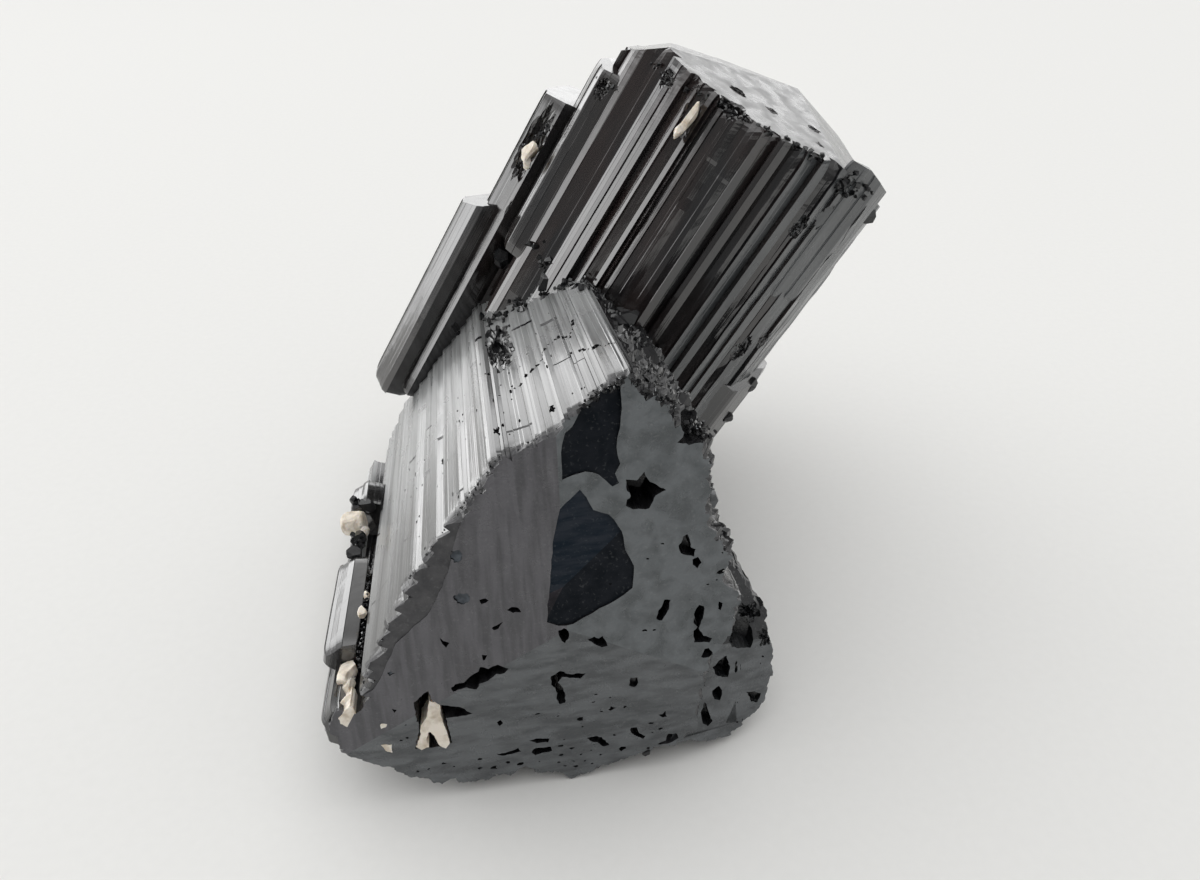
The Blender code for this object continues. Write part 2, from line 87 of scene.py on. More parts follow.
room = bpy.data.worlds.new("white_room")
bpy.context.scene.world = room
room.use_nodes = True
sky = room.node_tree
round_about = add_node(sky, "TexCoord").outputs["Generated"]
from_the_front = add_node(sky, "SeparateXYZ", {"Vector": round_about}).outputs["Y"]
walls = between(sky, from_the_front, -1.0, 0.6, 0.16, 0.50)


def glow(way, outside, inside, bright):
    """Light from round one way: none past the outside cosine, and full past the inside one."""
    toward = add_node(sky, "VectorMath", {0: round_about, 1: Vector(way).normalized()},
                      operation="DOT_PRODUCT")
    value = toward.outputs["Value"]
    return between(sky, value, outside, inside, 0.0, bright, interpolation_type="SMOOTHSTEP")


def combine(operation, first, second):
    return add_node(sky, "Math", {0: first, 1: second}, operation=operation).outputs["Value"]


left_window = glow((-0.92, 0.38, 0.0), 0.62, 0.92, 2.8)
windows = combine("ADD", glow((0.15, 0.97, 0.0), 0.50, 0.90, 1.6), left_window)
windows = combine("MULTIPLY", windows, glow((0.0, 0.0, -1.0), -0.50, -0.22, 1.0))
ceiling = combine("ADD", glow((-0.25, 0.1, 1.0), 0.45, 0.95, 0.95), glow((0.8, -0.2, 0.6), 0.2, 0.9, 0.35))
feed(sky, sky.nodes["Background"], {"Color": combine("ADD", combine("ADD", walls, ceiling), windows)})

bpy.ops.object.light_add(type="AREA", location=(-0.30, 0.22, 0.50))
lamp = bpy.context.object
lamp.name = "soft_lamp"
lamp.data.shape = "DISK"
lamp.data.size = 0.40
lamp.data.energy = 0.15
lamp.data.color = (1.0, 0.99, 0.97)
lamp.rotation_euler = (Vector((0.0, 0.0, 0.02)) - lamp.location).to_track_quat("-Z", "Y").to_euler()

bpy.ops.object.camera_add(location=(-0.0003, -0.0907, 0.082), rotation=(math.radians(55.0), 0.0, 0.0))
camera = bpy.context.object
camera.data.lens = 27.0
camera.data.sensor_width = 36.0
camera.data.clip_start = 0.001
bpy.context.scene.camera = camera
bpy.context.scene.view_settings.view_transform = "Standard"

# ---------------------------------------------------------------- the front crystal
# A thick prism of black tourmaline that lies almost level. Its sides are built of flat ribs, each of
# many fine lines, as the crystal grew; three shallow faces close the end, which is pitted and worn.

MM = 0.001


def turn(degrees, axis):
    return Matrix.Rotation(math.radians(degrees), 4, axis)


def middle(points):
    return sum(p[0] for p in points) / len(points), sum(p[1] for p in points) / len(points)


def sides(outline):
    """Each point of a closed outline with the one after it."""
    return zip(outline, outline[1:] + outline[:1])


def pick(piece):
    """Makes the piece the one that the next operator works on."""
    bpy.ops.object.select_all(action="DESELECT")
    piece.select_set(True)
    bpy.context.view_layer.objects.active = piece


FRONT_FRAME = Matrix.Translation(Vector((-3.9, -32.8, 25.2)) * MM) @ turn(9.2, "Z") @ turn(80.6, "X")
FRONT_LENGTH = 54.0
END_APEX = (0.5, -4.5)
END_SLOPE = 6.0
END_FACINGS = (150.0, 30.0, 270.0)

# Runs of the outline, all round.
FRONT_RAGGED = [
    (-19.6, -12.0), (-21.4, -11.4), (-22.5, -13.1), (-22.0, -16.6), (-18.8, -19.4), (-16.8, -21.2),
    (-13.7, -23.4), (-9.2, -24.2), (-7.2, -23.6), (-4.6, -23.5), (-1.7, -24.6), (0.4, -25.6), (2.0, -25.4),
    (3.2, -24.7), (5.2, -24.3), (8.3, -23.2), (11.5, -22.6), (13.6, -21.3), (14.1, -16.8), (14.6, -13.1),
    (16.4, -9.5), (17.7, -6.6), (17.8, -3.8), (16.3, -2.0), (17.1, 0.7), (16.1, 2.5), (14.9, 4.4),
    (14.6, 6.2), (15.2, 9.6),
]
FRONT_SHOULDER = [(15.2, 9.6), (15.0, 11.6), (13.1, 14.7), (11.3, 16.4), (9.6, 17.9), (7.6, 19.6)]
FRONT_STRIATED = [
    (7.6, 19.6), (7.0, 19.9), (3.6, 17.8), (-1.6, 14.1), (-4.9, 13.0), (-8.0, 8.8), (-13.4, 1.8),
    (-18.9, -8.6), (-19.5, -10.8), (-19.6, -12.0),
]
# The first ribs of the striated side from the ridge on: width, depth of the higher edge, and lean.
STRIATED_RIBS = [
    (3.0, 0.0, 9), (1.0, 0.1, 3), (1.2, 0.2, 6), (1.9, 0.0, 12), (0.5, 0.1, 24), (0.4, 0.15, 4),
    (2.6, 0.0, 12), (2.4, 0.0, 5), (0.4, 0.1, 20), (0.35, 0.12, -6), (0.5, 0.1, 20), (1.2, 0.1, 14),
    (1.6, 0.25, 10), (1.4, 0.3, 16), (0.9, 0.1, 24), (1.2, 0.25, 12),
]


def set_out(runs, seed):
    """Sets out points round a crystal: flat ribs of uneven width that lean one way or the other, each of
    fine lines with steps between them. Ribs not given are made up from ranges of width, depth and lean."""
    rng = random.Random(seed)
    points, ribs = [], []
    for corners, given, ranges, line_widths, line_step, line_leans, groove in runs:
        reach = [0.0]
        for (xa, ya), (xb, yb) in zip(corners, corners[1:]):
            reach.append(reach[-1] + math.hypot(xb - xa, yb - ya))
        xs, ys = zip(*corners)

        def add(s, height):
            x, y = float(np.interp(s, reach, xs)), float(np.interp(s, reach, ys))
            xa, ya = (float(np.interp(max(s - 0.6, 0.0), reach, v)) for v in (xs, ys))
            xb, yb = (float(np.interp(min(s + 0.6, reach[-1]), reach, v)) for v in (xs, ys))
            long = math.hypot(xb - xa, yb - ya)
            points.append((x, y, (yb - ya) / long, (xa - xb) / long, height, len(ribs)))

        given, start = list(given), 0.0
        while start < reach[-1] - 1e-6:
            if given:
                width, depth, lean = given.pop(0)
            else:
                width, depth, lean = (rng.uniform(*span) for span in ranges[:3])
            if reach[-1] - start - width < 0.6:
                width = reach[-1] - start
            slant = math.tan(math.radians(lean))
            levels = [rng.uniform(-1.0, 0.25) * ranges[3] for _ in range(3)]
            ends = sorted(rng.uniform(-60.0, 40.0) for _ in range(2))
            if groove:
                add(start + 0.01, -depth - abs(slant) * width / 2 - slant * width / 2 - groove)
            here = start
            while here < start + width - 1e-6:
                line = rng.uniform(*line_widths)
                if start + width - here - line < line_widths[0]:
                    line = start + width - here
                rise = rng.uniform(-1.0, 1.0) * line_step - depth - abs(slant) * width / 2
                tip = math.tan(math.radians(rng.uniform(*line_leans))) * line / 2
                for s, share in ((here + 0.04, -tip), (here + line - 0.04, tip)):
                    add(s, rise + share + slant * (s - start - width / 2))
                here += line
            ribs.append((levels, ends))
            start += width
    return points, ribs


def draw_out(name, places, rises):
    """A circle bent to an outline and drawn out upwards, ring after ring."""
    bpy.ops.object.select_all(action="DESELECT")
    bpy.ops.mesh.primitive_circle_add(vertices=len(places), radius=1.0, fill_type="NGON")
    rod = bpy.context.object
    rod.name = rod.data.name = name
    for vertex, place in zip(rod.data.vertices, places):
        vertex.co = place
    bpy.ops.object.mode_set(mode="EDIT")
    bpy.ops.mesh.select_all(action="SELECT")
    for rise in rises:
        bpy.ops.mesh.extrude_region_move(TRANSFORM_OT_translate={"value": (0.0, 0.0, rise)})
    bpy.ops.object.mode_set(mode="OBJECT")
    return rod


def carve(rod, points, ribs, wear):
    """Moves each point of the sides out to its rib and line, and towards the middle by what is worn away."""
    middle_x, middle_y = middle(points)
    where = {(np.float32(p[0]), np.float32(p[1])): p for p in points}
    for vertex in rod.data.vertices:
        x, y, nx, ny, height, rib = where[(np.float32(vertex.co.x), np.float32(vertex.co.y))]
        levels, ends = ribs[rib]
        height += levels[sum(vertex.co.z > end for end in ends)]
        loss = wear(x, y, vertex.co.z) / math.hypot(x - middle_x, y - middle_y)
        vertex.co.x = x + nx * height - (x - middle_x) * loss
        vertex.co.y = y + ny * height - (y - middle_y) * loss


def trim(piece, planes):
    """Cuts the piece off along each plane and closes the cut with a flat face."""
    pick(piece)
    bpy.ops.object.mode_set(mode="EDIT")
    for point, normal in planes:
        bpy.ops.mesh.select_all(action="SELECT")
        bpy.ops.mesh.bisect(plane_co=point, plane_no=normal, use_fill=True, clear_outer=True)
    bpy.ops.object.mode_set(mode="OBJECT")


def slope(apex, facing, tilt):
    """A plane through the apex that falls away towards a facing, in degrees."""
    a, t = math.radians(facing), math.radians(tilt)
    return Vector(apex), Vector((math.sin(t) * math.cos(a), math.sin(t) * math.sin(a), math.cos(t)))


def end_drops(x, y):
    """How far each of the three faces of the end lies below its apex, at a point."""
    dx, dy, fall = x - END_APEX[0], y - END_APEX[1], math.tan(math.radians(END_SLOPE))
    return [(dx * math.cos(math.radians(facing)) + dy * math.sin(math.radians(facing))) * fall
            for facing in END_FACINGS]


def end_height(x, y):
    return -max(end_drops(x, y))


# The ridge beside the striated side: the way across it, and how far out it lies.
RIDGE_WAY = (-0.757, 0.653)
RIDGE_REACH = 6.9


def front_wear(x, y, z):
    """The end's edge is chipped all round, and the right shoulder is broken rough."""
    below = max(0.0, end_height(x, y) - z)
    chip = 0.35 + noise.noise(Vector((x * 0.55, y * 0.55, 3.0)))
    chip += 0.5 * noise.noise(Vector((x * 1.6, y * 1.6, z)))
    loss = 0.8 * max(0.0, chip) * math.exp(-below / 0.5)
    past_ridge = RIDGE_REACH - (RIDGE_WAY[1] * y + RIDGE_WAY[0] * x)
    shoulder = min(1.0, max(0.0, past_ridge / 1.2)) * min(1.0, max(0.0, (y + 3.0) / 4.0)) * (x > 7.0)
    broken = 1.0 if y > -26.0 and (x > 7.0 or y < -9.0 and x > -19.0) else 0.0
    rough = noise.fractal(Vector((x, y, z * 0.8)) * 0.9, 0.9, 2.2, 4)
    loss += broken * (past_ridge > 0.0) * 0.16 * rough + shoulder * 0.6 * (rough + 0.35)
    rim = 0.35 * math.exp(-(below / 0.9) ** 2)
    loss += broken * rim * max(0.0, 0.75 + noise.fractal(Vector((x, y, z * 1.4)) * 1.3, 0.8, 2.1, 4))
    return loss


def rings(*spans):
    """Rises of the rings, from spans of (length, spacing)."""
    result = []
    for length, spacing in spans:
        count = round(length / spacing)
        result += [length / count] * count
    return result


def grow(name, runs, seed, low, spans, wear):
    """A prism drawn out upwards from low, with its ribs, lines and wear."""
    points, ribs = set_out(runs, seed)
    prism = draw_out(name, [(p[0], p[1], low) for p in points], rings(*spans))
    carve(prism, points, ribs, wear)
    return prism


front_crystal = grow("front_crystal", [
    (FRONT_RAGGED, [], ((1.0, 2.6), (0.0, 0.3), (-9, 9), 0.2), (0.35, 0.6), 0.05, (-3, 3), 0.0),
    (FRONT_SHOULDER, [], ((0.8, 1.6), (0.0, 0.3), (-10, 10), 0.2), (0.28, 0.42), 0.08, (-4, 4), 0.0),
    (FRONT_STRIATED, STRIATED_RIBS, ((0.8, 2.4), (0.05, 0.3), (10, 24), 0.12), (0.2, 0.9), 0.015, (-3, 7),
     0.08),
], 11, -FRONT_LENGTH, ((22.0, 1.1), (26.0, 0.5), (6.0, 0.25), (1.5, 1.5)), front_wear)


def ragged(outline, spacing, jitter, seed):
    """Breaks up the sides of an outline into short uneven ones."""
    rng = random.Random(seed)
    result = []
    for (xa, ya), (xb, yb) in sides(outline):
        count = max(1, round(math.hypot(xb - xa, yb - ya) / spacing))
        for k in range(count):
            t = k / count
            result.append((xa + (xb - xa) * t + rng.uniform(-jitter, jitter),
                           ya + (yb - ya) * t + rng.uniform(-jitter, jitter)))
    return result


def punch(outline, floor, top, narrowing, planes=()):
    """A tool in the shape of a pit: an outline drawn out upwards from a narrower floor."""
    cx, cy = middle(outline)
    offsets = [((x - cx) * narrowing, (y - cy) * narrowing) for x, y in outline]
    places = [(cx + px, cy + py, floor + 0.25 * px - 0.2 * py) for px, py in offsets]
    tool = draw_out("punch", places, [top - floor])
    for vertex in tool.data.vertices:
        if vertex.co.z > (floor + top) / 2:
            vertex.co = (cx + (vertex.co.x - cx) / narrowing, cy + (vertex.co.y - cy) / narrowing, top)
    bpy.ops.object.mode_set(mode="EDIT")
    bpy.ops.mesh.select_all(action="SELECT")
    bpy.ops.mesh.normals_make_consistent(inside=False)
    bpy.ops.object.mode_set(mode="OBJECT")
    if planes:
        trim(tool, planes)
    return tool


def join(pieces, name):
    """Makes one piece of several."""
    bpy.ops.object.select_all(action="DESELECT")
    for piece in pieces:
        piece.select_set(True)
    bpy.context.view_layer.objects.active = pieces[0]
    bpy.ops.object.join()
    piece = bpy.context.object
    piece.name = piece.data.name = name
    return piece


def cut_out(piece, tools, name):
    """Cuts all the tools out of the piece with one Boolean."""
    tool = join(tools, name)
    modifier = piece.modifiers.new("cut", "BOOLEAN")
    modifier.operation = "DIFFERENCE"
    modifier.solver = "MANIFOLD"
    modifier.object = tool
    pick(piece)
    bpy.ops.object.modifier_apply(modifier=modifier.name)
    bpy.data.objects.remove(tool)


# The side of the block that slices pieces off: longer than any piece, in millimetres.
BLOCK = 150.0


def slice_off(piece, planes):
    """Cuts the piece off along each plane with a large block that stands on it."""
    for point, normal in planes:
        bpy.ops.object.select_all(action="DESELECT")
        bpy.ops.mesh.primitive_cube_add(size=BLOCK)
        block = bpy.context.object
        upwards = normal.to_track_quat("Z", "Y").to_matrix().to_4x4()
        block.matrix_world = Matrix.Translation(point + normal * BLOCK / 2) @ upwards
        bpy.ops.object.transform_apply(location=True, rotation=True, scale=True)
        cut_out(piece, [block], "block")


slice_off(front_crystal, [slope((*END_APEX, 0.0), facing, END_SLOPE) for facing in END_FACINGS])

# Outlines of the larger pits in the end, each with its depth.
END_PITS = [
    ([(8, 10.3), (8.5, 9.3), (9.1, 8.9), (10.1, 8.1), (9.1, 7.8), (8.5, 6.5), (7, 6.7), (6.3, 7.1),
      (6.4, 7.7), (6.8, 8.1), (6.3, 8.9), (6.3, 9.8), (7.4, 9.6)], 3.5),
    ([(-0.3, -4.5), (0.2, -4.2), (0.7, -4.6), (0.6, -5.7), (0.2, -6.1), (-0.2, -5.5)], 2.4),
    ([(2.2, -5.9), (2.9, -5.7), (3.4, -6), (3.8, -5.7), (4, -6.3), (4.4, -7.1), (3.7, -7.3), (3.2, -6.8),
      (2.6, -6.3)], 1.6),
    ([(9.8, -3), (10.4, -3.1), (10.3, -3.9), (9.9, -4.7), (9.5, -5.4), (8.9, -5.1), (9.1, -4.2),
      (9.5, -3.8)], 2.6),
    ([(13.2, -4.1), (13.7, -4.4), (13.6, -5.8), (13.1, -6.9), (13.6, -7.9), (14.6, -8.4), (14.3, -8.9),
      (12.7, -8.5), (12.6, -7.1), (13, -6.7), (12.6, -6.2), (12.7, -4.8)], 2.4),
    ([(15.1, -4.3), (15.5, -4.6), (15.4, -5.4), (15, -5.2)], 1.2),
    ([(13.7, -9.4), (14.2, -9.3), (14.7, -10.1), (14.5, -10.6), (13.7, -10.5), (13.3, -10.3)], 1.4),
    ([(13.9, -16.5), (14.3, -16.9), (14.3, -17.7), (13.6, -18.1), (13.7, -17.2)], 1.8),
    ([(10.1, -16.8), (10.2, -17.7), (9.7, -17.8), (9.3, -17.3), (9.8, -17.2)], 1.2),
    ([(9.2, -21.7), (10.1, -21.2), (10.4, -20.2), (11.3, -20.3), (11.7, -21.1), (10.4, -21.9)], 1.4),
    ([(6.4, -11.5), (7.1, -11.6), (7.3, -12.5), (6.8, -13.1), (6.2, -12.7)], 0.9),
    ([(-1.3, -10), (-0.3, -9.4), (0.6, -10), (2.3, -10.1), (1.8, -10.8), (0.6, -10.5), (-0.2, -10.3),
      (-0.6, -10.9), (0, -12.3), (0.1, -14.2), (-0.5, -14.3), (-0.9, -13.4), (-0.7, -12.5), (-1.3, -11.1)],
      2.2),
    ([(-10.7, -10.1), (-10.2, -9.7), (-9.4, -9.6), (-8.8, -9), (-7.8, -8.4), (-7.7, -7.8), (-6.9, -8.1),
      (-5.9, -7.7), (-4.9, -8.4), (-5.4, -8.9), (-6.2, -8.9), (-7.1, -9.7), (-7.9, -9.9), (-8.2, -10.7),
      (-9.2, -10.2), (-10, -10.4), (-10.5, -10.6)], 2.4),
    ([(-7.4, -6.6), (-6.9, -6.7), (-7.1, -7.2), (-7.4, -7.2)], 1.0),
    ([(-4.8, -2), (-4.3, -1.6), (-3.7, -1.8), (-3.4, -2.3), (-4.3, -2.3)], 1.2),
    ([(-6.4, -3.7), (-5.8, -3.4), (-5.2, -3.2), (-5.7, -3.9), (-6.2, -4.1)], 1.2),
    ([(-11, -4.4), (-10.7, -4.8), (-10.1, -5.1), (-10.5, -5.6), (-10.9, -5.2)], 1.2),
    ([(-14.2, -11.4), (-13.4, -10.6), (-12.7, -10.1), (-12.5, -11.1), (-11.8, -11.9), (-10.7, -12.3),
      (-9.7, -12.7), (-8.6, -13.8), (-9.8, -13.9), (-11.2, -13.9), (-14.2, -13.9)], 3.4),
    ([(-16.2, -12), (-15.7, -12.1), (-16, -12.5)], 0.8),
    ([(-6.7, -15.3), (-6.3, -15), (-6, -15.5), (-6.4, -15.9)], 1.2),
    ([(1.9, -19.2), (3, -19.1), (3.6, -19.4), (4.5, -20.8), (3.9, -21), (3.1, -20.1), (2.4, -19.8)], 1.5),
    ([(-3.8, -18.5), (-3, -18.3), (-1.6, -18.5), (-1.7, -19.1), (-3, -19)], 1.3),
    ([(-3.7, -20.2), (-3.1, -19.6), (-1.5, -19.8), (-1.4, -20.5), (-2.6, -20.6), (-3.3, -20.8)], 1.5),
    ([(-7.2, -19.8), (-5.9, -19.7), (-4.7, -19.3), (-4.4, -19.9), (-5.6, -20.1), (-6.6, -20.2)], 1.2),
    ([(6.4, -18.6), (7.2, -18.6), (7.4, -19.6), (8.2, -20.3), (7.9, -20.7), (6.9, -19.8), (6.4, -19.3)],
      1.3),
    ([(11.1, 2.4), (11.6, 3.3), (12, 3.6), (12.3, 2.8), (12.3, 2), (12.9, 1.7), (12.7, 0.9), (12, 1.2),
      (11.3, 1.5)], 1.8),
    ([(12.4, 0.8), (13.1, 0.9), (13.4, 0.2), (12.9, -0.4), (12.4, 0.2)], 1.4),
]
# The flat-floored part of the pit below the hole at the lower left, filled with feldspar.
LEG_RECESS = [
    (-14.0, -13.2), (-11.4, -13.2), (-11.2, -15.4), (-11.1, -17.3), (-12.2, -17.7), (-14.7, -17.5),
    (-14.1, -15.2),
]
# Places where small pits lie close together: x, y, reach across, reach up, how many.
PIT_SWARMS = [
    (4.0, -14.6, 1.6, 1.4, 16), (-3.0, -20.8, 6.5, 1.0, 22), (6.0, -20.5, 5.0, 1.6, 22),
    (13.0, -1.5, 2.4, 6.0, 7), (8.6, -19.2, 1.5, 1.0, 14), (-5.8, -21.6, 3.2, 0.6, 16),
    (1.2, -22.6, 2.2, 0.7, 14), (-13.0, -20.4, 2.0, 0.5, 5), (-15.0, -14.0, 3.0, 3.0, 6),
    (0.0, -17.0, 7.0, 2.5, 9), (9.0, 1.0, 5.0, 9.0, 7), (-9.0, 4.0, 5.0, 5.0, 5),
]
# The shield, a sunken growth patch, and the larger patch above it.
SHIELD = [
    (2.3, 9.4), (2.8, 8.6), (3.4, 7.3), (4.8, 6.6), (5.9, 4.8), (6.2, 2.7), (6.9, 1.1), (6.8, -1.2),
    (5.8, -1.9), (2.9, -3.1), (1.1, -3.9), (-0.3, -4.0), (-1.3, -3.5), (-1.1, -1.6), (-0.7, 1.3),
    (-0.2, 5.2), (0.5, 7.9), (1.4, 8.7),
]
UPPER_PATCH = [
    (0.9, 13.8), (1.2, 14.8), (1.9, 15.2), (2.7, 16.6), (3.8, 17.4), (5.1, 18.4), (6.2, 18.6), (6.1, 15.6),
    (5.6, 12.9), (5.9, 11.3), (5.5, 10.5), (6.1, 8.4), (5.5, 8.9), (4, 10.6), (2.9, 11.1), (1.7, 10.9),
    (0.8, 10.6),
]
# The broken hollow at the top of the right edge.
NOTCH = [
    (10.8, 12.5), (11.6, 13.3), (11.1, 14.5), (12.2, 16.4), (14.5, 14.7), (16.2, 12.3), (15.8, 11.3),
    (13.2, 12.1), (12, 12.1),
]
# A strip along the left edge, inside a fine crack, that stands a little lower and duller.
BORDER = [
    (-19.0, -10.6), (-17.5, -9.7), (-16.4, -7.6), (-15.5, -6.0), (-14.9, -4.7), (-13.7, -3.6), (-12.6, -2.6),
    (-11.8, -2.0), (-11.2, -0.9), (-10.2, 0.9), (-9.4, 3.0), (-8.4, 6.4), (-7.2, 9.0), (-5.8, 11.4),
    (-5.0, 13.8), (-9.0, 11.0), (-15.0, 3.0), (-21.0, -9.0),
]
# Low bumpy spots of a bluer black: x, y, reach across and reach up.
BLUE_SPOTS = [(-8.7, 3.8, 0.8, 1.0), (-8.6, -0.5, 1.1, 0.9), (-15.8, -8.0, 0.5, 0.4)]


def swarm_tools():
    """Small pits, kept off each other and off the larger pits."""
    rng = random.Random(5)
    tools, taken = [], [(px, py, 0.5) for outline, _ in END_PITS for px, py in outline]
    for x, y, across, up, count in PIT_SWARMS:
        for _ in range(count):
            px, py = x + rng.uniform(-1, 1) * across, y + rng.uniform(-1, 1) * up
            size = rng.choice((0.12, 0.16, 0.22, 0.34))
            if any(math.hypot(px - qx, py - qy) < reach + 2.0 * size for qx, qy, reach in taken):
                continue
            taken.append((px, py, 2.0 * size))
            corners = []
            for k in range(7):
                angle = 2 * math.pi * k / 7
                reach = size * rng.uniform(0.45, 1.3)
                corners.append((px + 1.5 * reach * math.cos(angle), py + reach * math.sin(angle)))
            surface = end_height(px, py)
            tools.append(punch(corners, surface - 2.2 * size, surface + 0.5, 0.6))
    return tools


def sunken(outline, depth, seed, *floors):
    """A tool whose underside is made of several slopes that meet in low ridges."""
    cx, cy = middle(outline)
    base = end_height(cx, cy) - depth
    planes = []
    for dx, dy, facing, tilt in floors:
        point, normal = slope((cx + dx, cy + dy, base), facing, tilt)
        planes.append((point, -normal))
    return punch(ragged(outline, 0.8, 0.07, seed), base - 3.5, base + 4.0, 1.0, planes)


def spot(x, y, across, up):
    corners = [(x + across * math.cos(k * 0.7), y + up * math.sin(k * 0.7)) for k in range(9)]
    surface = end_height(x, y)
    return punch(ragged(corners, 0.25, 0.2, int(90 + x)), surface - 0.14, surface + 1.0, 0.6)


def pit_tools(pits, height, jitter, over):
    """Tools for the larger pits in a face whose height a function gives."""
    tools = []
    for number, (outline, depth) in enumerate(pits):
        surface = height(*outline[0])
        tools.append(punch(ragged(outline, 0.35, jitter, number), surface - depth, surface + over, 0.72))
    return tools


cut_out(front_crystal, [
    sunken(SHIELD, 0.5, 61, (0.0, 0.0, 30, 7.0), (-1.0, 1.0, 62, 6.0), (1.0, -2.0, 4, 7.0)),
    sunken(UPPER_PATCH, 0.45, 62, (0.0, 0.0, 30, 6.5), (0.0, 1.5, 60, 7.5)),
], "sunken_patches")
cut_out(front_crystal, [sunken(BORDER, 0.09, 64, (0.0, 0.0, 150, 6.5))], "border")
cut_out(front_crystal, swarm_tools() + [spot(*place) for place in BLUE_SPOTS], "small_pits")
cut_out(front_crystal, pit_tools(END_PITS, end_height, 0.07, 0.8), "end_pits")
cut_out(front_crystal, [punch(ragged(NOTCH, 0.5, 0.15, 63), -4.6, 1.0, 0.8),
                        punch(ragged(LEG_RECESS, 0.4, 0.08, 65), -3.2, 1.0, 0.96)], "notch")


def hollow(x, y, z, across, deep, long, seed, rough=0.35, facing=90.0, detail=4):
    """A tool for a broken hollow: a ball drawn out along the crystal and made uneven."""
    bpy.ops.object.select_all(action="DESELECT")
    bpy.ops.mesh.primitive_ico_sphere_add(subdivisions=detail, radius=1.0)
    tool = bpy.context.object
    nx, ny = math.cos(math.radians(facing)), math.sin(math.radians(facing))
    for vertex in tool.data.vertices:
        way = vertex.co.copy()
        reach = 1.0 + rough * noise.fractal(way * 2.2 + Vector((seed * 7.3, 0.0, 0.0)), 0.8, 2.1, 4)
        along, out = way.x * across * reach, way.y * deep * reach
        vertex.co = (x + ny * along + nx * out, y - nx * along + ny * out, z + way.z * long * reach)
    return tool


STRIATED_FACING = 125.0
# Breaks across the striated side: lines of small pits.
CRACKS = [
    [(-2.6, 13.9, -13.4), (-0.4, 15.0, -15.6), (1.2, 16.2, -18.2), (2.6, 17.4, -19.2), (3.6, 18.0, -17.0),
      (4.6, 18.6, -20.5)],
    [(2.8, 17.6, -13.4), (3.8, 18.1, -13.0), (4.4, 18.5, -11.6), (5.6, 19.2, -10.0), (6.9, 19.9, -9.0)],
]


def side_specks():
    """Small pits: along the cracks, and strewn over the striated side."""
    rng = random.Random(8)
    tools = []
    for crack in CRACKS:
        for (xa, ya, za), (xb, yb, zb) in zip(crack, crack[1:]):
            for _ in range(round(math.dist((xa, ya, za), (xb, yb, zb)) / 0.3)):
                t = rng.random()
                size = rng.choice((0.08, 0.12, 0.2))
                z = za + (zb - za) * t + rng.uniform(-0.3, 0.3)
                tools.append(hollow(xa + (xb - xa) * t, ya + (yb - ya) * t - 0.2, z, size, 1.0,
                                    size * rng.uniform(0.8, 2.2), len(tools), 0.5, STRIATED_FACING, 2))
    xs, ys = zip(*FRONT_STRIATED)
    for _ in range(90):
        k = rng.randrange(2, 7)
        t = rng.random()
        x, y = xs[k] + (xs[k + 1] - xs[k]) * t, ys[k] + (ys[k + 1] - ys[k]) * t
        tools.append(hollow(x, y, rng.uniform(-30.0, -1.0), rng.uniform(0.04, 0.12), 0.9,
                            rng.uniform(0.1, 0.5), len(tools), 0.4, STRIATED_FACING, 2))
    for x, y, z in ((-4.5, 13.4, -6.7), (-9.9, 6.4, -15.9), (-13.4, 1.9, -20.5), (0.4, 15.5, -5.5)):
        tools.append(hollow(x, y, z, 0.3, 1.0, 0.8, len(tools), 0.6, STRIATED_FACING, 3))
    return tools


specks = side_specks()
for k in range(4):
    cut_out(front_crystal, specks[k::4], "side_specks")
cut_out(front_crystal, [hollow(-3.0, 14.1, -27.5, 1.7, 1.8, 7.0, 31)], "side_hollow")


def rest(piece, crystal_frame, cut=slice_off):
    """Cuts a piece made upright in millimetres off at the table."""
    foot = crystal_frame.inverted() @ Vector((0.0, 0.0, 0.0)) / MM
    down = crystal_frame.to_3x3().inverted() @ Vector((0.0, 0.0, -1.0))
    if any((v.co - foot).dot(down) > 0.0 for v in piece.data.vertices):
        cut(piece, [(foot, down)])


def settle(piece, crystal_frame):
    """Turns a piece made upright in millimetres into its place in the cluster."""
    piece.matrix_world = crystal_frame @ Matrix.Scale(MM, 4)
    pick(piece)
    bpy.ops.object.transform_apply(location=True, rotation=True, scale=True)
    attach(piece, "root")


TOURMALINE_IOR = 1.64
LINE_DEPTH = 0.00004
GRAIN_DEPTH = 0.00005


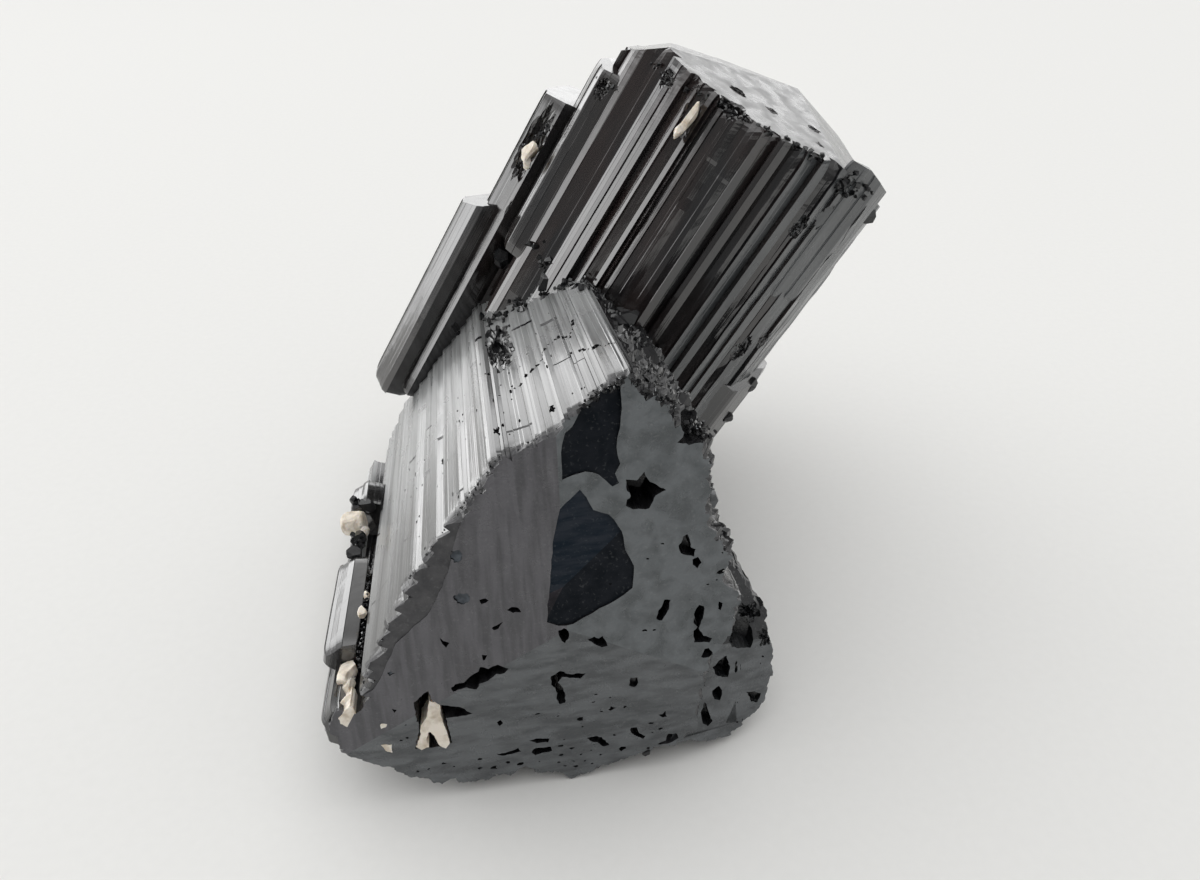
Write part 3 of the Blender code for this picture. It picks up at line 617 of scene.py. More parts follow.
def mineral(name, crystal_frame, colour, other_colour, roughness, lines, grain, level=0.5,
            stretch=(0.25, 0.25, 0.06), dull=0.0, painted_sheen=0.0, flecks=0.0):
    """Black tourmaline: two near-black tones, gloss that varies from place to place, and relief of fine
    lines along the crystal and of grain. Away from the end it gets duller by dull, and paler in long bands
    of painted sheen as strongly as the sheen argument says: painted light that stands in for what the fine
    lines reflect. Flecks are pale dots. Coordinates are turned to the crystal and in millimetres."""
    material = bpy.data.materials.new(name)
    material.use_nodes = True
    tree = material.node_tree
    upright = add_node(tree, "Mapping", {
        "Vector": add_node(tree, "TexCoord").outputs["Object"], "Location": crystal_frame.translation,
        "Rotation": crystal_frame.to_euler(), "Scale": (MM, MM, MM),
    }, vector_type="TEXTURE").outputs["Vector"]
    height = add_node(tree, "SeparateXYZ", {"Vector": upright}).outputs["Z"]

    def pattern(scale, detail, distortion=0.0):
        drawn = add_node(tree, "Mapping", {"Vector": upright, "Scale": scale}).outputs["Vector"]
        return add_node(tree, "TexNoise", {
            "Vector": drawn, "Scale": 1.0, "Detail": detail, "Distortion": distortion}).outputs["Fac"]

    def mix(share, first, second):
        inputs = {"Factor": share, "A": first, "B": second}
        return add_node(tree, "Mix", inputs, data_type="RGBA").outputs["Result"]

    def calculate(operation, first, second):
        return add_node(tree, "Math", {0: first, 1: second}, operation=operation).outputs["Value"]

    share = between(tree, pattern(stretch, 4.0, 0.3), 0.38, 0.62, 0.0, 1.0)
    tone = mix(share, (*colour, 1.0), (*other_colour, 1.0))
    # The first pair is painted sheen: pale bands, stronger away from the end, that stand in for light
    # reflected off the fine lines; the second is pale flecks.
    for strong, pale, scale, distortion, low, high in ((painted_sheen, 0.30, (1.3, 1.3, 0.02), 0.0, 0.35, 0.55),
                                                       (flecks, 0.20, (3.2, 3.2, 3.2), 0.4, 0.60, 0.70)):
        if strong:
            least = 0.35 * strong if painted_sheen else 0.0
            amount = between(tree, pattern(scale, 3.0, distortion), low, high, least, strong)
            if painted_sheen:
                amount = calculate("MULTIPLY", amount, between(tree, height, -3.0, -26.0, 0.28, 1.0))
            tone = mix(amount, tone, (pale, 1.02 * pale, 1.02 * pale, 1.0))
    gloss = between(tree, pattern((0.5, 0.5, 0.15), 4.0, 0.5), 0.35, 0.65, *roughness)
    line_relief = add_node(tree, "Bump", {
        "Height": pattern((7.0, 7.0, 0.05), 3.0), "Strength": lines, "Distance": LINE_DEPTH}).outputs["Normal"]
    grain_relief = add_node(tree, "Bump", {
        "Height": pattern((3.0, 3.0, 1.6), 6.0), "Strength": grain, "Distance": GRAIN_DEPTH,
        "Normal": line_relief}).outputs["Normal"]
    feed(tree, tree.nodes["Principled BSDF"], {
        "IOR": TOURMALINE_IOR, "Specular IOR Level": level, "Base Color": tone, "Normal": grain_relief,
        "Roughness": calculate("ADD", gloss, between(tree, height, -10.0, -24.0, 0.0, dull))})
    return material


# The striated side is painted paler in bands away from the end: painted sheen in place of the light its lines
# reflect.
front_side = mineral("striated_side", FRONT_FRAME, (0.006, 0.006, 0.007), (0.016, 0.015, 0.014),
                     (0.06, 0.16), 0.35, 0.06, 0.85, dull=0.2, painted_sheen=0.85)
front_dark = mineral("broken_side", FRONT_FRAME, (0.004, 0.004, 0.005), (0.016, 0.016, 0.017), (0.06, 0.30),
                     0.15, 0.4, 0.5, (0.9, 0.9, 0.5))
end_left = mineral("etched_end_left", FRONT_FRAME, (0.036, 0.035, 0.041), (0.072, 0.070, 0.079),
                   (0.24, 0.46), 0.0, 1.0, 0.55, (1.4, 0.16, 0.3), flecks=0.16)
end_right = mineral("etched_end_right", FRONT_FRAME, (0.036, 0.044, 0.048), (0.094, 0.105, 0.112),
                    (0.22, 0.46), 0.0, 1.0, 0.55, (0.5, 0.5, 0.3), flecks=0.22)
end_low = mineral("etched_end_low", FRONT_FRAME, (0.028, 0.033, 0.037), (0.082, 0.090, 0.096), (0.22, 0.46),
                  0.0, 1.0, 0.55, (0.30, 0.9, 0.3), flecks=0.22)
end_edge = mineral("etched_edge", FRONT_FRAME, (0.022, 0.022, 0.025), (0.046, 0.045, 0.048), (0.26, 0.50),
                   0.0, 1.0, 0.4, (0.8, 0.8, 0.8), flecks=0.14)
# The floors of the sunken patches are painted near-black with almost no reflection: a painted dark reflection.
# The shield's floor is tinted reddish where it faces a little to the right and bluish where it faces more so.
sunk_painted_dark = mineral("sunken_painted_dark", FRONT_FRAME, (0.004, 0.006, 0.009), (0.011, 0.013, 0.017), (0.30, 0.50),
                    0.0, 0.8, 0.05, (0.6, 0.6, 0.3), flecks=0.12)
sunk_blue = mineral("sunken_blue", FRONT_FRAME, (0.006, 0.012, 0.020), (0.022, 0.027, 0.036), (0.30, 0.50),
                    0.0, 0.8, 0.05, (0.3, 1.3, 0.3), flecks=0.10)
sunk_red = mineral("sunken_red", FRONT_FRAME, (0.012, 0.011, 0.014), (0.030, 0.026, 0.032), (0.30, 0.50),
                   0.0, 0.6, 0.08, (0.5, 1.0, 0.3), flecks=0.10)
blue_spot = mineral("bluish_spot", FRONT_FRAME, (0.026, 0.034, 0.044), (0.060, 0.072, 0.086), (0.30, 0.50),
                    0.0, 1.0, 0.4, (1.5, 1.5, 1.5))


def clothe(piece, materials, choose=None):
    """Gives the piece its finishes, each face the one that choose names."""
    piece.data.materials.clear()
    for material in materials:
        piece.data.materials.append(material)
    for polygon in piece.data.polygons:
        polygon.material_index = choose(polygon) if choose else 0


def inside(outline, x, y):
    crossings = 0
    for (xa, ya), (xb, yb) in sides(outline):
        if (ya > y) != (yb > y) and x < xa + (xb - xa) * (y - ya) / (yb - ya):
            crossings += 1
    return crossings % 2 == 1


WITHIN_EDGE = [(0.94 * x, 0.94 * (y + 4.0) - 4.0) for x, y in FRONT_RAGGED + FRONT_SHOULDER + FRONT_STRIATED]
FRONT_FINISHES = (front_side, end_left, end_right, end_low, end_edge, sunk_painted_dark, sunk_blue, sunk_red,
                  blue_spot, front_dark)
SIDE, END, _, _, EDGE, PAINTED_DARK, BLUE, RED, SPOT, BROKEN = range(len(FRONT_FINISHES))
# A face belongs to an end where its normal points along the crystal at least this much.
FACES_OUT = 0.9


def front_finish(polygon):
    """The end's three faces are etched each in its own way, and the floors of the sunken patches differ: they
    are painted dark, a painted dark reflection.
    """
    x, y, z = polygon.center
    slant = polygon.normal
    drops = end_drops(x, y)
    below = -max(drops) - z
    if slant.z < FACES_OUT or z < -4.0:
        if inside(WITHIN_EDGE, x, y):
            return BROKEN
        if below < (1.6 if y < -17.0 else 0.5):
            return EDGE
        return SIDE if abs(slant.z) < 0.05 and slant.y - 0.4 * slant.x > 0.35 else BROKEN
    if below < 0.02:
        return END + drops.index(max(drops))
    # The floors of the sunken patches get the painted dark reflection.
    if below < 1.2 and inside(UPPER_PATCH, x, y):
        return PAINTED_DARK
    if below < 1.2 and inside(SHIELD, x, y):
        return PAINTED_DARK if slant.x < 0.08 else RED if slant.x < 0.114 else BLUE
    if any(math.hypot((x - sx) / across, (y - sy) / up) < 1.4 for sx, sy, across, up in BLUE_SPOTS):
        return SPOT
    return EDGE if below < 0.5 and inside(BORDER, x, y) else BROKEN


rest(front_crystal, FRONT_FRAME)
clothe(front_crystal, FRONT_FINISHES, front_finish)
settle(front_crystal, FRONT_FRAME)
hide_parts("tourmaline_cluster")

# ---------------------------------------------------------------- the lump at the lower right
# A short side growth of the same tourmaline that ends in a pitted face, rough and dark above.

LUMP_OUTLINE = [
    (10.0, -22.6), (14.4, -24.3), (16.9, -24.7), (19.6, -23.5), (22.0, -21.4), (22.5, -19.6), (23.2, -18.0),
    (23.1, -14.8), (22.6, -11.4), (20.9, -8.2), (18.4, -5.4), (12.0, -6.0),
]
LUMP_PITS = [
    ([(17.2, -12.1), (18.1, -11.7), (19.1, -10.7), (20.2, -10.8), (20.7, -12.3), (20.2, -14.0),
      (18.6, -13.5), (17.7, -13.0)], 2.6),
    ([(15.5, -14.6), (16.3, -13.9), (17.2, -13.4), (17.8, -15.5), (17.5, -16.6), (16.4, -16.1),
      (15.9, -15.8)], 2.4),
    ([(15.4, -17.4), (16.3, -16.9), (16.8, -17.7), (16.6, -19.0), (15.8, -18.7)], 2.0),
    ([(14.2, -19.5), (14.7, -18.2), (15.3, -20.2), (15.7, -21.4), (15.1, -21.9), (14.3, -20.9)], 2.0),
    ([(19.4, -18.8), (20.5, -19.2), (21.6, -19.8), (21.0, -21.1), (20.1, -20.5)], 1.2),
    ([(18.1, -14.9), (18.4, -14.6), (18.5, -16.2), (18.2, -16.4)], 0.5),
    ([(18.7, -15.4), (18.9, -15.2), (18.9, -16.3)], 0.4),
]
LUMP_FACE = slope((15.5, -20.0, -3.6), 20, 16)


def lump_wear(x, y, z):
    rough = noise.fractal(Vector((x, y, z * 0.8)) * 0.8, 0.9, 2.2, 4)
    return 0.25 * (rough + 0.4) * (1.0 + 1.2 * (y > -12.0)) + 0.7 * math.exp(-max(0.0, -3.4 - z) / 0.6)


def lump_height(x, y):
    point, normal = LUMP_FACE
    return point.z - ((x - point.x) * normal.x + (y - point.y) * normal.y) / normal.z


lump = grow("side_lump", [
    (LUMP_OUTLINE + LUMP_OUTLINE[:1], [], ((0.9, 2.2), (0.0, 0.3), (-10, 10), 0.2), (0.3, 0.5), 0.06,
     (-4, 4), 0.0),
], 33, -27.0, ((18.0, 0.9), (8.0, 0.4)), lump_wear)
slice_off(lump, [LUMP_FACE, slope((19.0, -12.6, -5.3), 68, 50)])
rng = random.Random(17)
lump_tools = pit_tools(LUMP_PITS, lump_height, 0.08, 1.5)
for _ in range(30):
    x, y, size = rng.uniform(14.5, 21.5), rng.uniform(-22.5, -13.0), rng.choice((0.12, 0.2, 0.3))
    if any(math.hypot(x - px, y - py) < 1.0 + 2.0 * size for outline, _ in LUMP_PITS for px, py in outline):
        continue
    corners = [(x + size * rng.uniform(0.5, 1.4) * math.cos(k * 0.9),
                y + size * rng.uniform(0.5, 1.3) * math.sin(k * 0.9)) for k in range(7)]
    lump_tools.append(punch(corners, lump_height(x, y) - 2.0 * size, lump_height(x, y) + 1.0, 0.6))
cut_out(lump, lump_tools, "lump_pits")
cut_out(lump, [hollow(18.4, -11.6, -6.2, 1.2, 1.3, 1.0, 51, 0.7),
               hollow(20.6, -10.6, -7.6, 1.3, 1.2, 1.1, 52, 0.7),
               hollow(21.8, -13.0, -6.0, 0.9, 1.0, 0.7, 53, 0.7)], "lump_hollows")
lump_rough = mineral("lump_rough", FRONT_FRAME, (0.005, 0.006, 0.007), (0.016, 0.017, 0.018), (0.10, 0.40),
                     0.0, 1.2, 0.35, (1.2, 1.2, 1.2), flecks=0.25)


def lump_finish(polygon):
    """The face is etched like the lowest face of the end, and the rest is rough."""
    x, y, z = polygon.center
    return int(polygon.normal.z > FACES_OUT and abs(z - lump_height(x, y)) < 0.05)


rest(lump, FRONT_FRAME)
clothe(lump, (lump_rough, end_low), lump_finish)
settle(lump, FRONT_FRAME)

# ---------------------------------------------------------------- crust of chips, and knobs
# Broken bits of tourmaline and small crystal tips that stick to the edges of the front crystal.


def any_way(rng):
    return Vector((rng.gauss(0, 1), rng.gauss(0, 1), rng.gauss(0, 1))).normalized()


def chip(seed, flats=9, near=0.42, far=0.85):
    """A broken bit: a cube with its corners and sides broken off flat."""
    rng = random.Random(seed)
    bpy.ops.object.select_all(action="DESELECT")
    bpy.ops.mesh.primitive_cube_add(size=1.7)
    bit = bpy.context.object
    planes = []
    for _ in range(flats):
        normal = any_way(rng)
        planes.append((normal * rng.uniform(near, far), normal))
    trim(bit, planes)
    return bit


def strew(kinds, places, seed):
    """Copies of the bits in turn, each turned its own way, at places of x, y, z and size."""
    rng = random.Random(seed)
    copies = []
    for k, (x, y, z, size) in enumerate(places):
        bit = kinds[k % len(kinds)].copy()
        bit.data = bit.data.copy()
        tumble = Euler([rng.uniform(0.0, 2.0 * math.pi) for _ in range(3)]).to_matrix().to_4x4()
        bit.data.transform(Matrix.Translation((x, y, z)) @ tumble @ Matrix.Scale(size, 4))
        bpy.context.collection.objects.link(bit)
        copies.append(bit)
    for kind in kinds:
        bpy.data.objects.remove(kind)
    return copies


def along(lines, seed):
    """Places strewn along lines: points, how many, how far off, and sizes."""
    rng = random.Random(seed)
    places = []
    for line, count, off, sizes in lines:
        for _ in range(count):
            k = rng.randrange(len(line) - 1)
            place = Vector(line[k]).lerp(Vector(line[k + 1]), rng.random())
            place += Vector((rng.gauss(0, 0.5), rng.gauss(0, 0.5), rng.gauss(0, 0.8))) * off
            places.append((*place, rng.uniform(*sizes)))
    return places


# Lines along which bits are strewn: places, how many, how far off the line, and sizes.
CRUST = [
    ([(2.4, 16.6, -0.6), (4.4, 18.0, -0.8), (6.8, 18.9, -1.1), (9.2, 17.2, -1.4), (11.0, 15.2, -1.6)], 90,
      0.4, (0.08, 0.28)),
    ([(8.4, 17.9, -3.0), (9.8, 16.4, -12.0), (10.2, 16.0, -22.0), (8.8, 17.2, -31.0)], 200, 0.75,
      (0.10, 0.36)),
    ([(12.3, 14.0, -3.0), (14.5, 10.0, -4.0), (14.7, 6.0, -5.0)], 50, 0.35, (0.08, 0.26)),
    ([(-4.2, 12.8, -36.0), (-0.5, 14.4, -36.0), (3.0, 17.0, -35.0), (5.6, 18.5, -31.0), (7.2, 19.0, -27.0)],
      120, 1.1, (0.14, 0.5)),
    ([(12.0, 12.9, -3.6), (14.4, 12.6, -3.8)], 40, 0.7, (0.10, 0.28)),
    ([(-19.2, -9.4, -3.0), (-19.1, -9.0, -24.0)], 60, 0.25, (0.08, 0.20)),
    ([(-19.2, -10.8, -1.9), (-13.3, 1.5, -1.6), (-8.0, 8.4, -1.6), (-4.8, 12.5, -1.5), (1.0, 15.4, -1.2)],
      60, 0.15, (0.05, 0.13)),
    ([(-18.5, -18.7, -3.0), (-16.7, -20.2, -3.0), (-13.6, -22.2, -3.2), (-9.1, -23.0, -3.4),
      (-4.4, -22.3, -3.4), (0.4, -24.6, -3.6), (2.4, -23.5, -3.6), (8.3, -22.6, -3.4), (13.6, -20.8, -3.4)],
      60, 0.3, (0.25, 0.7)),
    ([(-3.0, 14.2, -22.5), (-2.4, 14.0, -20.8)], 20, 0.5, (0.10, 0.24)),
    ([(-21.6, -7.9, -34.0), (-20.6, -8.2, -32.6)], 30, 0.6, (0.2, 0.6)),
    ([(-21.8, -9.4, -28.9), (-20.6, -9.9, -27.6)], 24, 0.5, (0.2, 0.5)),
]
FRONT_KNOBS = [
    (8.8, 17.2, -9.0, 1.1), (12.3, 14.2, -6.0, 0.9), (14.0, 11.2, -5.0, 0.8), (10.9, 15.9, -14.5, 1.2),
    (9.2, 17.2, -21.0, 1.2), (12.8, 13.9, -19.0, 1.2), (11.0, 15.8, -26.0, 1.5), (6.2, 18.4, -29.5, 1.1),
    (16.2, 1.2, -4.4, 0.9), (0.8, -24.2, -3.8, 1.3), (-9.8, -22.5, -4.2, 1.2), (9.6, -21.7, -4.4, 1.4),
    (-16.4, -19.8, -4.6, 1.0), (-21.4, -9.8, -25.8, 1.0), (-20.2, -7.8, -33.2, 1.2),
    (-20.8, -9.2, -28.4, 0.9),
]
crust_places = [(x, y, min(z, end_height(x, y) - 0.05), size) for x, y, z, size in along(CRUST, 29)]


def bits_and_knobs(name, bits, knobs, seed):
    """Broken bits and rounder knobs at their places, as one piece."""
    strewn = strew([chip(k) for k in range(8)], bits, seed)
    return join(strewn + strew([chip(20 + k, 16, 0.62, 0.9) for k in range(5)], knobs, seed + 1), name)


crust = bits_and_knobs("crust", crust_places, FRONT_KNOBS, 30)
crust_dull = mineral("crust_dull", FRONT_FRAME, (0.005, 0.005, 0.006), (0.018, 0.018, 0.019), (0.2, 0.5),
                     0.0, 0.6, 0.22, (1.2, 1.2, 1.2))
crust_glossy = mineral("crust_glossy", FRONT_FRAME, (0.003, 0.004, 0.005), (0.012, 0.013, 0.014),
                       (0.04, 0.14), 0.0, 0.4, 0.5, (1.2, 1.2, 1.2))
# A pale grey painted on a few small faces of the crust as glints: a painted highlight.
crust_painted_glint = mineral("crust_painted_glint", FRONT_FRAME, (0.20, 0.21, 0.22), (0.55, 0.57, 0.58), (0.08, 0.3), 0.0,
                      0.3, 1.0, (1.2, 1.2, 1.2))


def crust_choice(polygon):
    """Most faces are dull, some glossy, and a few small ones are painted pale grey as glints: a painted
    highlight.
    """
    if polygon.area < 0.03 and polygon.index % 23 == 0:
        return 2
    return int(polygon.index % 3 == 0)


rest(crust, FRONT_FRAME, trim)
CRUST_FINISHES = (crust_dull, crust_glossy, crust_painted_glint)
clothe(crust, CRUST_FINISHES, crust_choice)
settle(crust, FRONT_FRAME)

# ---------------------------------------------------------------- the back crystal
# A second thick prism that leans to the right behind the first. Its ribs are wider and stand out more,
# and a low glassy top closes it. Its foot is grown into the front crystal.

BACK_FRAME = (Matrix.Translation(Vector((2.3, 16.3, 30.9)) * MM) @ turn(3.8, "Z") @ turn(30.5, "Y")
              @ turn(-22.5, "Z"))
TOP_APEX = (4.5, 2.0, 31.6)
TOP_FACES = ((262.0, 9.0), (5.0, 18.0), (172.0, 14.5), (95.0, 12.0))
BACK_FRONT = [
    (-14.4, 6.0), (-14.3, -3.0), (-13.4, -8.4), (-11.2, -12.2), (-6.0, -16.3), (-0.5, -18.6), (4.5, -19.4),
    (9.0, -18.2), (14.0, -14.9), (18.2, -10.3), (19.9, -5.0),
]
BACK_REAR = [
    (19.9, -5.0), (20.8, 3.0), (18.8, 10.0), (12.0, 16.0), (3.0, 18.5), (-7.0, 17.5), (-12.4, 12.6),
    (-14.4, 6.0),
]
# The ribs of the front: width, depth of the higher edge, and lean.
BACK_RIBS = [
    (4.2, 0.2, 6), (4.0, 0.0, -4), (3.8, 0.2, 8), (2.6, 0.0, 4), (1.4, 0.8, -40), (1.7, 0.4, -20),
    (2.2, 0.0, -8), (1.8, 0.4, -32), (2.3, 0.5, -26), (1.8, 0.2, 3), (1.4, 0.0, 16), (1.7, 0.0, 21),
    (1.3, 0.3, -22), (0.7, 0.1, 12), (0.6, 0.0, 34), (0.9, 0.1, 18), (1.2, 0.4, 0), (1.2, 0.3, -10),
    (2.2, 0.2, 2), (1.9, 0.0, -30), (0.5, 0.1, 32), (0.9, 0.3, -10), (1.9, 0.5, 28), (2.0, 0.0, -24),
    (1.2, 0.1, -14), (1.2, 0.3, 26), (1.6, 0.0, -16), (1.4, 0.1, -8), (1.0, 0.3, 36), (3.4, 0.1, -8),
    (5.0, 0.2, 0),
]


def top_height(x, y):
    dx, dy = x - TOP_APEX[0], y - TOP_APEX[1]
    faces = [(math.radians(facing), math.radians(tilt)) for facing, tilt in TOP_FACES]
    return TOP_APEX[2] - max((dx * math.cos(f) + dy * math.sin(f)) * math.tan(t) for f, t in faces)


def back_wear(x, y, z):
    """The top edge is chipped, and the right side is a little uneven."""
    below = max(0.0, top_height(x, y) - z)
    broken = 0.3 + noise.noise(Vector((x * 0.5, y * 0.5, 8.0)))
    broken += 0.5 * noise.noise(Vector((x * 1.7, y * 1.7, z)))
    loss = 0.9 * max(0.0, broken) * math.exp(-below / 0.8)
    return loss + (0.02 + 0.06 * (x > 13.0)) * noise.fractal(Vector((x, y, z * 0.3)), 0.9, 2.1, 3)


back_crystal = grow("back_crystal", [
    (BACK_FRONT, BACK_RIBS, ((1.1, 2.6), (0.0, 0.15), (-5, 5), 0.1), (0.35, 1.1), 0.02, (-3, 3), 0.06),
    (BACK_REAR, [], ((1.4, 3.4), (0.0, 0.5), (-16, 16), 0.5), (0.5, 1.2), 0.06, (-3, 3), 0.0),
], 23, -44.0, ((64.0, 1.3), (18.0, 0.4)), back_wear)
slice_off(back_crystal, [slope(TOP_APEX, facing, tilt) for facing, tilt in TOP_FACES])
slice_off(back_crystal, [slope((-11.6, 0.0, 27.0), 184, 36),
                         (Vector((-17.0, 0.0, -20.0)), Vector((-0.86, 0.0, -0.5))),
                         (Vector((0.0, 18.0, -18.0)), Vector((0.1, 0.8, -0.6)))])
# Broken hollows: place, reach across and along.
BACK_HOLLOWS = [
    (13.4, -15.6, 22.0, 1.1, 1.6), (16.6, -12.4, 26.8, 1.5, 1.9), (14.8, -14.4, 27.8, 1.0, 0.9),
    (15.2, -13.9, 24.0, 0.9, 1.6), (18.4, -10.0, 21.6, 0.9, 2.0), (16.9, -12.2, 6.6, 1.3, 1.8),
    (18.4, -10.0, 8.4, 1.0, 1.4), (1.2, -18.9, 28.6, 2.2, 1.5), (6.8, -18.9, 28.8, 1.0, 0.7),
    (-2.9, -18.0, 27.8, 0.8, 0.8), (8.5, -18.6, 29.0, 0.9, 0.9), (11.6, -16.8, 29.4, 0.9, 0.7),
    (-9.6, -13.8, 22.2, 0.8, 1.1), (-2.2, -18.4, 25.0, 1.2, 3.2), (-2.2, 18.0, 27.0, 3.0, 2.6),
    (12.0, 15.4, 12.0, 2.4, 5.0), (18.6, -10.5, -1.0, 1.2, 4.0), (-6.6, -16.3, 26.6, 1.3, 1.0),
    (4.2, -12.0, 29.6, 0.8, 0.4), (8.8, -9.0, 30.2, 0.9, 0.4), (0.2, -13.0, 29.2, 1.1, 0.3),
    (10.2, -12.6, 29.8, 0.7, 0.5), (-4.0, -11.0, 28.9, 1.0, 0.4),
]
cut_out(back_crystal, [hollow(x, y, z, wide, wide, long, 40 + k)
                       for k, (x, y, z, wide, long) in enumerate(BACK_HOLLOWS)], "back_hollows")
back_side = mineral("back_side", BACK_FRAME, (0.008, 0.008, 0.009), (0.022, 0.015, 0.014), (0.07, 0.18), 0.3,
                    0.05, 0.75)
back_grey = mineral("back_right", BACK_FRAME, (0.055, 0.059, 0.062), (0.105, 0.110, 0.113), (0.18, 0.34),
                    0.3, 0.10, 0.6)
back_top = mineral("back_top", BACK_FRAME, (0.11, 0.11, 0.11), (0.15, 0.15, 0.15), (0.20, 0.42), 0.0, 0.5,
                   0.48, (0.5, 0.5, 0.5))


def back_finish(polygon):
    """The top is etched; flats of the front that face the right are duller and greyer."""
    x, y, z = polygon.center
    if polygon.normal.z > FACES_OUT and z > 24.0:
        return 2
    return int(x > 8.0 and y < 0.0 and polygon.normal.x > 0.38 and abs(polygon.normal.z) < 0.4)


rest(back_crystal, BACK_FRAME)
clothe(back_crystal, (back_side, back_grey, back_top), back_finish)
settle(back_crystal, BACK_FRAME)

# ---------------------------------------------------------------- thin prisms beside the crystals
# Thin prisms of the same tourmaline, grown parallel to the thick ones along their left edges.


def thin_prism(name, outline, low, high, crystal_frame, planes, finish, seed, widths, tools=()):
    """A thin prism with the flat ribs and lines of the thick ones and a worn end."""
    def worn(x, y, z):
        ends = math.exp(-max(0.0, high - z) / 0.5) + math.exp(-max(0.0, z - low) / 0.5)
        return 0.35 * ends + 0.015 * noise.fractal(Vector((x, y, z * 0.4)), 0.9, 2.1, 3)

    ranges = (widths, (0.0, 0.1), (-5, 5), 0.08)
    runs = [(outline + outline[:1], [], ranges, (0.4, 1.2), 0.015, (-2, 2), 0.06)]
    prism = grow(name, runs, seed, low, ((1.8, 0.3), (high - low - 3.6, 1.0), (1.8, 0.3)), worn)
    slice_off(prism, planes)
    if tools:
        cut_out(prism, tools, name + "_hollows")
    rest(prism, crystal_frame)
    clothe(prism, (finish,))
    settle(prism, crystal_frame)


LEFT_PRISMS = [
    ("left_prism_upper", [(-19.6, -9.6), (-21.4, -9.3), (-23.2, -10.5), (-23.5, -12.0), (-21.8, -13.4),
      (-19.4, -12.9)], -25.0, -8.5, [slope((-22.0, -11.0, -8.2), 60, 14)]),
    ("left_prism_lower", [(-19.8, -12.6), (-22.0, -11.9), (-23.2, -13.6), (-22.9, -16.2), (-20.2, -18.0),
      (-18.0, -16.0)], -46.0, -2.2, []),
    ("left_prism_far", [(-17.6, -7.6), (-20.2, -6.6), (-22.3, -7.8), (-22.9, -10.4), (-21.6, -12.6),
      (-18.0, -12.2)], -38.5, -33.0, [slope((-20.0, -9.0, -33.0), 200, 24)]),
]
prism_side = mineral("prism_side", FRONT_FRAME, (0.010, 0.010, 0.011), (0.024, 0.023, 0.022), (0.08, 0.18),
                     0.3, 0.05, 0.9)
for number, (name, outline, low, high, planes) in enumerate(LEFT_PRISMS):
    thin_prism(name, outline, low, high, FRONT_FRAME, planes, prism_side, 70 + number, (0.7, 1.6))
knob_outline = [(20.2 + (2.5 + 0.3 * math.sin(k * 2.3)) * math.cos(k * 0.698),
                 -8.6 + 2.4 * math.sin(k * 0.698)) for k in range(9)]
thin_prism("right_knob", knob_outline, -37.0, -26.6, FRONT_FRAME, [slope((22.0, -8.6, -26.8), 0, 20)],
           end_low, 79, (1.0, 2.0))
back_prism_side = mineral("back_prism_side", BACK_FRAME, (0.008, 0.008, 0.009), (0.020, 0.017, 0.016),
                          (0.08, 0.18), 0.3, 0.05, 0.9)
BACK_PRISMS = [
    ("back_prism_thin", [(-22.4, -4.6), (-21.5, -8.2), (-18.4, -10.6), (-16.3, -8.5), (-14.5, -2.0),
      (-18.4, 0.0)], -27.4, 5.0, [slope((-18.4, -10.4, 2.2), 185, 32)], []),
    ("back_prism_capped", [(-19.6, -4.8), (-18.6, -8.4), (-15.4, -10.0), (-12.0, -6.0), (-14.0, 4.0),
      (-19.4, 3.0)], -26.0, 17.6, [slope((-16.0, -8.0, 17.5), 185, 12)], [(-17.0, -9.2, 11.6, 1.4, 4.8),
      (-15.6, -10.0, 4.0, 0.4, 1.6)]),
    ("back_prism_stub", [(-15.2, -7.6), (-13.6, -11.6), (-10.6, -12.4), (-8.6, -8.0), (-11.0, -1.0),
      (-15.0, -2.0)], 0.0, 23.6, [slope((-13.0, -9.5, 23.5), 210, 13)], [(-12.4, -11.8, 21.5, 0.8, 1.2),
      (-14.2, -10.0, 16.0, 0.3, 2.0)]),
    ("back_prism_shoulder", [(-14.6, 4.0), (-13.6, -6.0), (-10.4, -9.6), (-6.0, -8.0), (-4.0, 6.0),
      (-9.0, 12.0)], 0.0, 27.2, [slope((-10.0, -4.0, 26.9), 180, 20)], []),
    ("back_prism_left", [(-17.5, 13.0), (-19.6, 7.0), (-17.6, 1.0), (-12.0, 2.0), (-10.0, 14.0),
      (-14.0, 16.4)], -26.0, 9.0, [slope((-16.0, 8.0, 8.6), 150, 22)], []),
    ("back_prism_rear", [(-4.0, 16.0), (3.0, 16.0), (5.0, 20.4), (1.5, 22.4), (-3.4, 21.0)], -30.0, 14.0,
      [slope((0.0, 20.0, 13.6), 80, 20)], []),
    ("back_prism_right", [(17.0, -11.0), (19.4, -9.4), (21.0, -4.6), (21.6, 2.4), (19.6, 5.0), (15.0, 0.0)],
      -24.0, 2.6, [slope((21.0, -4.0, 1.6), 330, 30)], []),
    ("back_prism_tip", [(13.6, -14.4), (15.6, -13.2), (18.0, -10.4), (19.3, -7.0), (17.4, -8.0),
      (15.2, -11.2)], 14.0, 30.2, [slope((16.4, -12.0, 30.1), 20, 17)], [(15.2, -13.9, 28.2, 0.9, 0.8)]),
]
for number, (name, outline, low, high, planes, holes) in enumerate(BACK_PRISMS):
    if sum(xa * yb - xb * ya for (xa, ya), (xb, yb) in sides(outline)) <= 0:
        outline = outline[::-1]
    tools = [hollow(x, y, z, wide, wide, long, 60 + k, facing=240.0)
             for k, (x, y, z, wide, long) in enumerate(holes)]
    finish = back_grey if name == "back_prism_tip" else back_prism_side
    thin_prism(name, outline, low, high, BACK_FRAME, planes, finish, 90 + number, (1.6, 4.0), tools)

